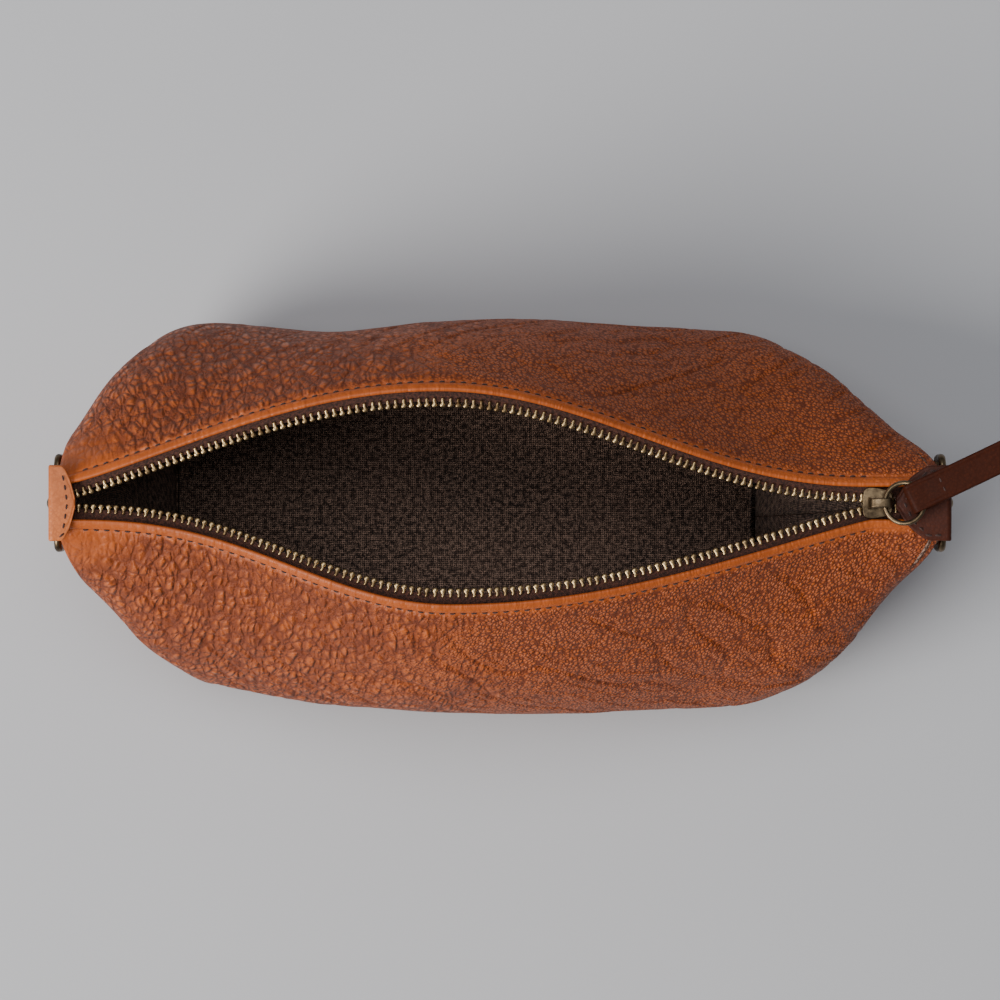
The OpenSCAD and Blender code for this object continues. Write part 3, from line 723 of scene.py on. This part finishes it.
def floor_cloth():
    """The lining on the board: slack cloth with soft folds, turned up at the walls."""
    n, m = 200, 120
    a, b = np.meshgrid(np.linspace(-1, 1, n), np.linspace(-1, 1, m), indexing="ij")
    half_l, half_w = BASE_L / 2 - 1.8 * MM, BASE_W / 2 - 1.8 * MM
    x, y = a * half_l, b * half_w
    # the grid's corners are drawn in to the base's rounded corners
    corner = np.array([half_l - BASE_R, half_w - BASE_R])
    over = np.maximum(np.stack([np.abs(x), np.abs(y)], -1) - corner, 0)
    reach = np.linalg.norm(over, axis=-1)
    limit = np.maximum(over.max(axis=-1), 1e-9)
    share = np.where(reach > 1e-9, limit / np.maximum(reach, 1e-9), 1)
    x = np.sign(x) * (np.minimum(np.abs(x), corner[0]) + over[..., 0] * share)
    y = np.sign(y) * (np.minimum(np.abs(y), corner[1]) + over[..., 1] * share)
    edge = 1 - over.max(axis=-1) / BASE_R
    p = xyz(x, y, 0)
    folds = 1.3 * MM * np.abs(noise(p * np.array([1, 0.4, 1]), 30 * MM, 31))
    folds += 0.7 * MM * np.abs(noise(p, 13 * MM, 32))
    z = SEAM_Z + BOARD_T + SKIN + folds * ease(edge / 0.5) + 2.2 * MM * (1 - ease(edge / 0.14))
    lower = xyz(x, y, z)
    upper = lower + np.array([0, 0, LINING_T])
    return upper, lower, xyz(a * half_l, b * half_w, 1)


upper, lower, places = floor_cloth()
mesh = sheet_mesh("floor_lining", upper, lower, places)
floor_lining = show("floor_lining", mesh, LINING, "lining", "root", "base_lining")


# ---------------------------------------------------------------- the zip's tape and teeth
TAPE_COLUMNS, MIDDLE_COLUMN = 420, 200


def tape_rows(side):
    xs = np.linspace(ZIP_L + 4.8 * MM, ZIP_R - 4.1 * MM, TAPE_COLUMNS)
    foot = chain_at(xs, side) + chain_out(xs, side) * (TOOTH_L * 0.62)
    u = u_of(xs)
    under = [
        wall_in(u, t_in(u, side, 0.4 * MM + share * TAPE_HIDDEN), side, LEATHER_T + GAP + TAPE_T / 2 + 0 * u)
        for share in (0, 0.3, 0.65, 1)
    ]
    sag = np.array([0, 0, 0.35 * MM])
    bridge = [mix(foot, under[0], w) - sag * math.sin(math.pi * w) for w in (0, 0.2, 0.4, 0.6, 0.8)]
    middle = np.stack(bridge + under, 1)
    across = unit(np.gradient(middle, axis=1))
    run = unit(np.gradient(middle, axis=0))
    up = unit(np.cross(run, across) * side)
    up = up * np.where(up[..., 2:] < 0, -1, 1)
    ripple = 0.10 * MM * noise(middle, 6 * MM, 41)[..., None]
    places = xyz(xs[:, None], run_along(middle[MIDDLE_COLUMN]), 1)
    return middle + up * (TAPE_T / 2 + ripple), middle - up * (TAPE_T / 2 - ripple), places


def stretches(side, edges):
    """The zip's length in stretches, each with the two places where a smooth turn fits the mouth's curve."""
    rows = []
    for a, b in zip(edges[:-1], edges[1:]):
        middle_rises = opening(b, side) > opening(a, side)
        qa, qb = ease_inverse(float(opening(a, side))), ease_inverse(float(opening(b, side)))
        if abs(qb - qa) < 1e-4:
            qa, qb = (0.0, 1.0) if middle_rises else (1.0, 0.0)
        length = (b - a) / (qb - qa)
        start = a - qa * length
        rows.append((a, b, start, start + length))
    return rows


STRETCH_EDGES = {
    FRONT: [ZIP_L, -95 * MM, -60 * MM, PEAK[FRONT], 78 * MM, 115 * MM, MOUTH_R],
    BACK: [ZIP_L, -118 * MM, -70 * MM, PEAK[BACK], 60 * MM, 105 * MM, MOUTH_R],
}


def tooth_template():
    """A zip tooth, its rounded tip at the origin and its body along +Y, thicker towards its foot."""
    stations = np.array(
        [
            [0.00, 0.20, 0.30], [0.08, 0.55, 0.62], [0.30, 0.84, 0.92], [0.75, 0.98, 1.06],
            [1.20, 0.92, 1.04], [1.60, 0.62, 0.92], [2.10, 0.56, 0.98], [2.70, 0.60, 1.10],
            [3.10, 0.55, 1.05], [3.24, 0.30, 0.70],
        ]
    ) * MM
    loops = []
    for y, half_x, half_z in stations:
        ring = round_loop(half_x, half_z, 12, 2.6)
        loops.append(xyz(ring[:, 0], y, ring[:, 1]))
    loops = np.array(loops)
    # a scoop in the tip's upper face, where the opposite tooth's nib would sit
    points = loops.reshape(-1, 3)
    dent = bump_at(np.hypot(points[:, 0], points[:, 1] - 0.9 * MM), 0.4 * MM)
    points[:, 2] -= np.sign(points[:, 2]) * 0.22 * MM * dent
    return points, tube_faces(*loops.shape[:2])


def tooth_places(side):
    xs, x = [], ZIP_L + 6.6 * MM
    while x <= BOTTOM_X - 2 * MM:
        xs.append(x)
        x += PITCH / (np.linalg.norm(chain_at(x + 1 * MM, side) - chain_at(x, side)) / MM)
    return np.array(xs)


def chain_axes(xs, side):
    out = chain_out(xs, side)
    up = np.zeros_like(out)
    up[:, 2] = 1
    return np.stack([np.cross(out, up), out, up], 1)


for word, side in SIDES.items():
    top, bottom, places = tape_rows(side)
    whole = sheet_mesh(word + "_tape", top, bottom, places)
    keep_shading(whole)
    points, faces = tooth_template()
    xs = tooth_places(side)
    jitter, body = np.random.default_rng(side + 5), word + "_edge"
    rows = stretches(side, STRETCH_EDGES[side])
    for k, (a, b, start, end) in enumerate(rows):
        # the first and last stretch run past the zip's ends
        low = a - 1 if k == 0 else a
        high = b + 1 if k == len(rows) - 1 else b
        cuts = [((low, 0, 0), (1, 0, 0)), ((high, 0, 0), (-1, 0, 0))]
        name = f"{word}_zip_tape_{k + 1}"
        tape = place(name, cut_mesh(name, whole, cuts), TAPE, "zip_tape")
        mine = xs[(xs >= low) & (xs < high)]
        axes = chain_axes(mine, side)
        tilt = jitter.normal(0, 0.03, (len(mine), 1, 1))
        axes = axes + tilt * np.roll(axes, 1, axis=1)
        teeth_name = f"{word}_zip_teeth_{k + 1}"
        mesh = many_mesh(teeth_name, points, faces, chain_at(mine, side), axes)
        teeth = place(teeth_name, mesh, BRASS, "brass_teeth")
        for piece in (tape, teeth):
            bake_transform(piece)
        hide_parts(word + "_tape")
        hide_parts(word + "_teeth")


# ---------------------------------------------------------------- stitches
def stitch_template(length=STITCH_L, radius=THREAD_D / 2 * 1.25):
    """A stitch along X that dips into the leather at both ends."""
    loops = []
    for q in np.linspace(-1, 1, 9):
        r = radius * math.sqrt(max(1 - abs(q) ** 3, 0.04))
        ring = round_loop(r, r * 0.85, 8)
        sink = radius * 1.5 * abs(q) ** 3
        loops.append(xyz(q * length / 2, ring[:, 0], ring[:, 1] + radius * 0.35 - sink))
    return np.concatenate(loops), tube_faces(len(loops), 8)


def wall_frames(xs, side, length):
    """Places and axes on a wall's surface: along it, across it and outward."""
    u = u_of(xs)
    t = t_in(u, side, length)
    up = wall_normal(u, t, side)
    run = unit(wall(u + 0.005, t, side) - wall(u - 0.005, t, side))
    across = unit(np.cross(up, run))
    return wall(u, t, side), np.stack([np.cross(across, up), across, up], 1)


def turned(axes, angles):
    """Axes turned about their own Z."""
    c, s = np.cos(angles)[:, None], np.sin(angles)[:, None]
    return np.stack([axes[:, 0] * c + axes[:, 1] * s, axes[:, 1] * c - axes[:, 0] * s, axes[:, 2]], 1)


points, faces = stitch_template()
for word, side in SIDES.items():
    first, last = ZIP_L + 9 * MM, ZIP_R - TAB_REACH["right"] - 7.5 * MM
    xs = first + np.arange(int((last - first) / STITCH_PITCH) + 1) * STITCH_PITCH
    where, axes = wall_frames(xs, side, STITCH_IN)
    wobble = np.random.default_rng(side + 15).normal(0, 0.05, len(xs))
    name = word + "_stitches"
    mesh = many_mesh(name, points, faces, where - axes[:, 2] * 0.12 * MM, turned(axes, wobble + 0.06))
    stitches = show(name, mesh, THREAD, "thread", "root", word + "_stitching")
    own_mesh(stitches)


# ---------------------------------------------------------------- strips of leather
STRIP_GRAIN, STRIP_STEP = 0.35, 0.45 * MM


def smooth_path(points, rounds=3):
    """The path with its corners cut, round by round."""
    p = np.asarray(points, float)
    for _ in range(rounds):
        a, b = p[:-1], p[1:]
        cut = np.stack([mix(a, b, 0.25), mix(a, b, 0.75)], 1).reshape(-1, p.shape[1])
        p = np.concatenate([p[:1], cut, p[-1:]])
    return p


def even_path(points, step):
    run = run_along(points)
    at = np.linspace(0, run[-1], max(int(run[-1] / step), 2) + 1)
    return np.stack([np.interp(at, run, points[:, k]) for k in range(points.shape[1])], -1), at


def strip_mesh(name, path, half_width, thickness, step, lift=None):
    """A strip whose centre line lies in the XZ plane and whose width runs along Y, with rounded edges.

    half_width gives the half width at a length along the path, and lift an extra height at a place.
    """
    line, at = even_path(path, step)
    tangent = unit(np.gradient(line, axis=0))
    normal = np.stack([-tangent[:, 1], tangent[:, 0]], -1)
    columns = 24
    share = np.linspace(-1, 1, columns)
    arc = np.linspace(np.pi / 2, -np.pi / 2, 6)[1:-1]
    loops, places = [], []
    for k in range(len(line)):
        w = half_width(at[k], at[-1])
        r = min(thickness / 2, w * 0.9)
        ys = share * (w - r)
        top = np.stack([ys, thickness / 2 + 0 * ys], -1)
        right = np.stack([w - r + r * np.cos(arc), thickness / 2 * np.sin(arc)], -1)
        bottom = np.stack([ys[::-1], -thickness / 2 + 0 * ys], -1)
        left = np.stack([-(w - r) - r * np.cos(arc[::-1]), thickness / 2 * np.sin(arc[::-1])], -1)
        section = np.concatenate([top, right, bottom, left])
        height = section[:, 1]
        if lift is not None:
            height = height + lift(at[k], at[-1], section[:, 0], w) * np.sign(section[:, 1])
        loops.append(
            xyz(line[k, 0] + normal[k, 0] * height, section[:, 0], line[k, 1] + normal[k, 1] * height)
        )
        places.append(xyz(at[k], section[:, 0], STRIP_GRAIN))
    return tube_mesh(name, loops, places)


TAB_OUT = 2 * TAB_T + SKIN + GAP
BAR_X = -GAP - TAB_T - SKIN / 2 - 0.5 * MM
BAR_Z = ZIP_H - TAB_DROP
FLAP_SHARE = 0.75


def flap_z(x):
    """The underside of a flap that covers the mouth's edges up to x."""
    return float(ZIP_H + GAP + RIM_RISE * max(opening(x, FRONT), opening(x, BACK)))


TAB_TOP = {
    "left": flap_z(ZIP_L + TAB_REACH["left"] * FLAP_SHARE),
    "right": flap_z(ZIP_R - TAB_REACH["right"] * FLAP_SHARE),
}
LOOP_R = RING_WIRE / 2 + GAP + TAB_T / 2


def end_transform(word):
    """From a tab's own place to the bag's left or right end."""
    if word == "left":
        return Matrix.Translation((ZIP_L, ZIP_Y, 0))
    return Matrix.Translation((ZIP_R, ZIP_Y, 0)) @ Matrix.Diagonal((-1, 1, 1, 1))


def move_mesh(mesh, matrix):
    mesh.transform(matrix)
    if matrix.determinant() < 0:
        mesh.flip_normals()
    mesh.update()
    return mesh


def tab_path(reach, underside):
    top, face, inner = underside + TAB_T / 2, -TAB_OUT + TAB_T / 2, -GAP - TAB_T / 2
    loop = [
        (BAR_X + LOOP_R * math.cos(a), BAR_Z + LOOP_R * math.sin(a))
        for a in np.linspace(math.radians(165), math.radians(375), 14)
    ]
    flap = [(reach, top - 0.15 * MM), (reach * 0.5, top), (-1.0 * MM, top), (face, top)]
    down = [(face, top - 2.6 * MM), (face, BAR_Z + 5 * MM)]
    return smooth_path(flap + down + loop + [(inner, BAR_Z + 5 * MM), (inner, BAR_Z + 12 * MM)])


def tab_half_width(reach):
    """The flap's outline: full width at the fold, then sloping in to a blunt point over the zip."""

    def width(at, _):
        x = reach - at
        marks = np.array([0, 0.75, 0.35, -0.4]) * reach
        xs = [marks[3], marks[2], marks[1], reach]
        halves = np.array([1.0, 0.985, 0.62, 0.10]) * TAB_W / 2
        soft = [np.interp(x + d, xs, halves) for d in np.linspace(-0.1, 0.1, 5) * reach]
        return float(np.mean(soft))

    return width


def ring_path(half_y, top, low, corner, step=10):
    """A rectangle with rounded corners in the YZ plane."""
    points = []
    for cy, cz, first in (
        (half_y - corner, top - corner, 0), (-half_y + corner, top - corner, 90),
        (-half_y + corner, low + corner, 180), (half_y - corner, low + corner, 270),
    ):
        for a in np.linspace(first, first + 90, step):
            points.append((cy + corner * math.cos(math.radians(a)), cz + corner * math.sin(math.radians(a))))
    return points


def wire_mesh(name, path, radius, sides=20):
    """A closed wire through a closed path of points."""
    p = np.asarray(path, float)
    tangent = unit(np.roll(p, -1, axis=0) - np.roll(p, 1, axis=0))
    flat = np.linalg.svd(p - p.mean(axis=0))[2][2]
    out = unit(np.cross(tangent, flat))
    a = np.arange(sides) / sides * 2 * np.pi
    loops = p[:, None] + radius * (out[:, None] * np.cos(a)[None, :, None] + flat * np.sin(a)[None, :, None])
    return make_mesh(name, loops, loop_faces(len(p), sides, ring=True))


def outline_stitches(name, path, height, matrix):
    """Stitches along a path of points at one height."""
    line, at = even_path(np.asarray(path, float), 0.2 * MM)
    spots = np.arange(STITCH_L * 0.7, at[-1] - STITCH_L * 0.4, STITCH_L + 0.9 * MM)
    x, y = np.interp(spots, at, line[:, 0]), np.interp(spots, at, line[:, 1])
    tangent = unit(np.gradient(line, axis=0))
    run = unit(np.stack([np.interp(spots, at, tangent[:, 0]), np.interp(spots, at, tangent[:, 1])], -1))
    axes = np.stack([xyz(run[:, 0], run[:, 1], 0), xyz(-run[:, 1], run[:, 0], 0), xyz(0 * x, 0, 1)], 1)
    points, faces = stitch_template(STITCH_L * 0.95)
    return move_mesh(many_mesh(name, points, faces, xyz(x, y, height), axes), matrix)


for word in ("left", "right"):
    reach, matrix = TAB_REACH[word], end_transform(word)

    def groove(at, total, y, w, reach=reach):
        on_flap = 1 - ease((at - reach * 1.1) / (2 * MM))
        crown = 0.18 * MM * (1 - (y / w) ** 2) * on_flap
        line = 0.22 * MM * (bump_at(np.abs(y) - (w - 2 * MM), 0.5 * MM)) * on_flap
        return crown - line

    name, path = word + "_tab_strip", tab_path(reach, TAB_TOP[word])
    mesh = strip_mesh(name, path, tab_half_width(reach), TAB_T, STRIP_STEP, groove)
    show(name, move_mesh(mesh, matrix), TAB_LEATHER_LIT_AND_SHADED[word], "tab_leather", "root", word + "_tab")

    inset = 2 * MM
    y0, x0 = TAB_W / 2 - inset, -TAB_OUT + 3 * MM
    path = [(x0, -y0), (reach * 0.35 - 0.5 * MM, -y0), (reach * 0.75 - inset, -y0 * 0.6)]
    path = path + [(reach - inset * 1.3, 0)] + mirrored(path)
    name = word + "_tab_stitches"
    mesh = outline_stitches(name, path, TAB_TOP[word] + TAB_T + 0.15 * MM, matrix)
    show(name, mesh, THREAD, "thread", "root", word + "_tab_stitching")

    half = TAB_W / 2 + 1.3 * MM + RING_WIRE / 2
    flat = ring_path(half, BAR_Z, BAR_Z - RING_DEPTH - RING_WIRE, RING_CORNER)
    dense, _ = even_path(np.array(flat + flat[:1]), 1 * MM)
    name, body = word + "_end_ring", word + "_ring"
    mesh = wire_mesh(name, xyz(BAR_X, dense[:-1, 0], dense[:-1, 1]), RING_WIRE / 2)
    show(name, move_mesh(mesh, matrix), OLD_BRASS, "antique_brass", body, body)


# ---------------------------------------------------------------- the slider
PLATE_Z = TOOTH_T / 2 + 2 * GAP
PLATE_TOP = CHAIN_Z + PLATE_Z + PLATE_T
RING_R = PULL_RING_D / 2
RING_X = SLIDER_X + SLIDER_L * 0.7
RING_Z = PLATE_TOP + BRIDGE_IN - PULL_WIRE / 2 - GAP


def prism_mesh(name, outline, height, bevel, segments=3):
    """An outline drawn up to a height, with its edges rounded."""
    bm = bmesh.new()
    bottom = [bm.verts.new((x, y, 0)) for x, y in outline]
    face = bm.faces.new(bottom)
    grown = bmesh.ops.extrude_face_region(bm, geom=[face])
    lifted = [v for v in grown["geom"] if isinstance(v, bmesh.types.BMVert)]
    bmesh.ops.translate(bm, verts=lifted, vec=(0, 0, height))
    bmesh.ops.recalc_face_normals(bm, faces=bm.faces)
    bmesh.ops.bevel(bm, geom=bm.edges[:], offset=bevel, segments=segments, profile=0.5, affect="EDGES")
    mesh = bpy.data.meshes.new(name)
    bm.to_mesh(mesh)
    bm.free()
    mesh.polygons.foreach_set("use_smooth", np.ones(len(mesh.polygons), bool))
    return mesh


def rounded(outline, rounds=2):
    """A closed outline with its corners cut, round by round."""
    p = np.asarray(outline, float)
    for _ in range(rounds):
        q = np.roll(p, -1, axis=0)
        p = np.stack([mix(p, q, 0.2), mix(p, q, 0.8)], 1).reshape(-1, 2)
    return p


def hard_shading(obj):
    """Keeps flat faces flat beside rounded edges."""
    normals = obj.modifiers.new("normals", "WEIGHTED_NORMAL")
    normals.keep_sharp = True
    normals.weight = 100


half, neck = SLIDER_W / 2, SLIDER_NECK / 2
plate = [(0, -half + 1.5 * MM), (1.5 * MM, -half), (SLIDER_L * 0.45, -half), (SLIDER_L, -neck)]
plate = rounded(plate + mirrored(plate))
for name, z, node in (
    ("slider_top_plate", CHAIN_Z + PLATE_Z, "slider_top"),
    ("slider_bottom_plate", CHAIN_Z - PLATE_Z - PLATE_T, "slider_bottom"),
):
    mesh = move_mesh(prism_mesh(name, plate, PLATE_T, 0.32 * MM), Matrix.Translation((SLIDER_X, ZIP_Y, z)))
    hard_shading(show(name, mesh, OLD_BRASS, "antique_brass", "slider", node))

outline = [(0, -0.5 * MM), (2.2 * MM, -0.17 * MM), (2.2 * MM, 0), (0, 0)]
wedge = prism_mesh("slider_wedge", outline, 2 * PLATE_Z, 0.06 * MM)
move_mesh(wedge, Matrix.Translation((SLIDER_X + 0.4 * MM, ZIP_Y, CHAIN_Z - PLATE_Z)))
show("slider_wedge", wedge, OLD_BRASS, "antique_brass", "slider")

# the slider's side flanges, turned down over the chain
for word, side in SIDES.items():
    name = f"slider_{word}_flange"
    run = [
        (0.8 * MM, side * (half - 0.8 * MM)), (1.6 * MM, side * half), (SLIDER_L * 0.45, side * half),
        (SLIDER_L - 0.3 * MM, side * neck), (SLIDER_L - 0.3 * MM, side * (neck - 0.8 * MM)),
        (SLIDER_L * 0.45, side * (half - 0.8 * MM)),
    ]
    mesh = prism_mesh(name, run, PLATE_Z * 0.27, 0.1 * MM)
    move_mesh(mesh, Matrix.Translation((SLIDER_X, ZIP_Y, CHAIN_Z + PLATE_Z * 0.75)))
    show(name, mesh, OLD_BRASS, "antique_brass", "slider")

arch_t, long = 0.9 * MM, SLIDER_L - 1.5 * MM
profile = [
    (1.2 * MM, 0), (1.2 * MM, BRIDGE_IN * 0.7), (2.2 * MM, BRIDGE_IN + arch_t / 2),
    (long - 1.2 * MM, BRIDGE_IN + arch_t / 2), (long - 0.45 * MM, BRIDGE_IN - 0.4 * MM),
    (long - 0.45 * MM, 0),
]


def arch_half_width(at, total):
    """The arch is a little wider at its feet."""
    return BRIDGE_W / 2 * (1 + 0.28 * (bump_at(at, 2.5 * MM) + bump_at(at - total, 2 * MM)))


mesh = strip_mesh("slider_arch", smooth_path(profile), arch_half_width, arch_t, 0.4 * MM)
move_mesh(mesh, Matrix.Translation((SLIDER_X + 1 * MM, ZIP_Y, PLATE_TOP)))
show("slider_arch", mesh, OLD_BRASS, "antique_brass", "slider", "slider_bridge")

ON_PULL = (
    Matrix.Translation((RING_X, ZIP_Y, RING_Z))
    @ Matrix.Rotation(-PULL_TILT, 4, "Y")
    @ Matrix.Translation((RING_R, 0, 0))
)
angles = np.linspace(0, 2 * np.pi, 73)[:-1]
mesh = wire_mesh("pull_wire_ring", RING_R * xyz(np.cos(angles), np.sin(angles), 0), PULL_WIRE / 2)
show("pull_wire_ring", move_mesh(mesh, ON_PULL), OLD_BRASS, "antique_brass", "pull_ring", "pull_ring")

# ---------------------------------------------------------------- the pull strap
FOLD_H = PULL_WIRE + 2 * GAP
FOLD_IN = 2.6 * MM
FOLD_L = RING_R + PULL_WIRE / 2 + 1 * MM - FOLD_IN
layer = FOLD_H / 2 + STRAP_T / 2
near = FOLD_H / 2
far_x = STRAP_L - STRAP_T
pressed = STRAP_T * 0.52
upper_layer = [
    (far_x, pressed), (far_x * 0.7, pressed), (FOLD_L + 5 * MM, pressed),
    (FOLD_L + 1 * MM, layer * 0.98), (near + 1 * MM, layer),
]
turn = [(near - layer * math.sin(a) * 0.95, layer * math.cos(a)) for a in np.linspace(0.2, np.pi - 0.2, 9)]
strap_path = upper_layer + turn + mirrored(upper_layer)


def strap_half_width(at, total):
    r = 3.2 * MM
    end = min(at, total - at)
    cut = r - math.sqrt(max(r * r - (r - min(end, r)) ** 2, 0))
    return STRAP_W / 2 - cut


def strap_lift(at, total, y, w):
    end = np.minimum(at, total - at)
    line = 0.18 * MM * bump_at(np.abs(y) - (w - 1.1 * MM), 0.35 * MM) * ease(end / (2 * MM))
    return 0.1 * MM * (1 - (y / w) ** 2) - line


TO_STRAP = ON_PULL @ Matrix.Rotation(STRAP_TURN, 4, "Z") @ Matrix.Translation((FOLD_IN, 0, 0))
mesh = strip_mesh("strap_fold", smooth_path(strap_path), strap_half_width, STRAP_T, STRIP_STEP, strap_lift)
show("strap_fold", move_mesh(mesh, TO_STRAP), STRAP, "strap_leather", "pull_strap", "pull_strap")

points, faces = stitch_template()
spots = np.array([[FOLD_L + 6 * MM, y, STRAP_T + 0.12 * MM] for y in (-1.6 * MM, 1.6 * MM)])
axes = np.tile(np.array([[0, 1, 0], [-1, 0, 0], [0, 0, 1]], float), (2, 1, 1))
mesh = many_mesh("strap_stitches", points, faces, spots, axes)
show("strap_stitches", move_mesh(mesh, TO_STRAP), THREAD, "thread", "pull_strap", "strap_stitching")


# ---------------------------------------------------------------- base
BASE_GRAIN = 0.9


def base_leather():
    """The bottom panel: a rounded plate whose edge is rolled, with a shallow line of piping."""
    steps = 16
    centres = [(1, 1, 0), (-1, 1, 90), (-1, -1, 180), (1, -1, 270)]
    outline = []
    for sx, sy, first in centres:
        for a in np.radians(np.linspace(first, first + 90, steps)):
            outline.append((sx * (BASE_L / 2 - BASE_R), sy * (BASE_W / 2 - BASE_R), math.cos(a), math.sin(a)))
    outline = np.array(outline)
    dense = []
    for k in range(len(outline)):
        a, b = outline[k], outline[(k + 1) % len(outline)]
        count = max(int(np.linalg.norm((a[:2] + a[2:] * BASE_R) - (b[:2] + b[2:] * BASE_R)) / (2 * MM)), 1)
        dense += [mix(a, b, q / count) for q in range(count)]
    dense = np.array(dense)
    direction = unit(dense[:, 2:])
    rings = [
        (0.0, 0.0), (10.0, 0.0), (17.0, 0.0), (18.6, 0.0), (19.4, 0.15), (20.0, 0.8),
        (19.4, 1.45), (18.6, 1.6), (17.0, 1.6), (10.0, 1.6), (0.0, 1.6),
    ]
    loops, places = [], []
    for reach, z in rings:
        share = reach / 20.0
        x, y = (dense[:, :2] * (0.02 + 0.98 * min(share * 2, 1)) + direction * BASE_R * share).T
        loops.append(xyz(x, y, z * MM))
        places.append(xyz(x, y, BASE_GRAIN))
    return tube_mesh("base_leather", loops, places)


show("base_leather", base_leather(), TAN, "tan_leather", "root", "base_panel")


# ---------------------------------------------------------------- CAD pieces that show as they are
def dress(node, material, bevel=None):
    """Gives a CAD node its material and, where wanted, rounded edges."""
    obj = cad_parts[node]
    for k in range(max(len(obj.material_slots), 1)):
        if not obj.material_slots:
            obj.data.materials.append(material)
        obj.material_slots[k].link = "OBJECT"
        obj.material_slots[k].material = material
    if bevel:
        rounding = obj.modifiers.new("rounding", "BEVEL")
        rounding.width = bevel
        rounding.segments = 3
        rounding.limit_method = "ANGLE"
    return obj


dress("base_board", BOARD)
for word in ("left", "right"):
    dress(word + "_rivet", OLD_BRASS)
for node in ("front_top_stop", "back_top_stop", "bottom_stop"):
    dress(node, BRASS, 0.35 * MM)

# ---------------------------------------------------------------- floor, lights and camera
floor = bpy.data.meshes.new("floor")
floor.from_pydata([(-4, -4, 0), (4, -4, 0), (4, 4, 0), (-4, 4, 0)], [], [(0, 1, 2, 3)])
floor = bpy.data.objects.new("floor", floor)
floor.location = (0, 0, -0.0002)
floor.data.materials.append(floor_material())
bpy.context.scene.collection.objects.link(floor)


def lamp(name, place, target, size, power, colour=(1, 1, 1)):
    light = bpy.data.lights.new(name, "AREA")
    light.shape = "DISK"
    light.size, light.energy, light.color = size, power, colour
    obj = bpy.data.objects.new(name, light)
    obj.location = place
    obj.rotation_euler = (Vector(target) - Vector(place)).to_track_quat("-Z", "Y").to_euler()
    bpy.context.scene.collection.objects.link(obj)
    return obj


lamp("key", (-1.5, -0.8, 1.3), (0, 0, 0.05), 1.3, 60, (1, 0.98, 0.95))
lamp("top", (-0.2, 0.5, 2.1), (0, 0, 0), 1.4, 19, (0.97, 0.98, 1))
world = bpy.context.scene.world or bpy.data.worlds.new("studio")
bpy.context.scene.world = world
world.use_nodes = True
world.node_tree.nodes["Background"].inputs["Color"].default_value = (0.82, 0.86, 0.92, 1)
world.node_tree.nodes["Background"].inputs["Strength"].default_value = 0.26

CAMERA_HEIGHT, CAMERA_X, CAMERA_Y = 1.300, 0.012, 0.006
SENSOR, LENS = 36.0, 129.6
camera = bpy.data.objects.new("camera", bpy.data.cameras.new("camera"))
camera.data.sensor_width, camera.data.lens = SENSOR, LENS
camera.location = (CAMERA_X, CAMERA_Y, CAMERA_HEIGHT)
bpy.context.scene.collection.objects.link(camera)
bpy.context.scene.camera = camera
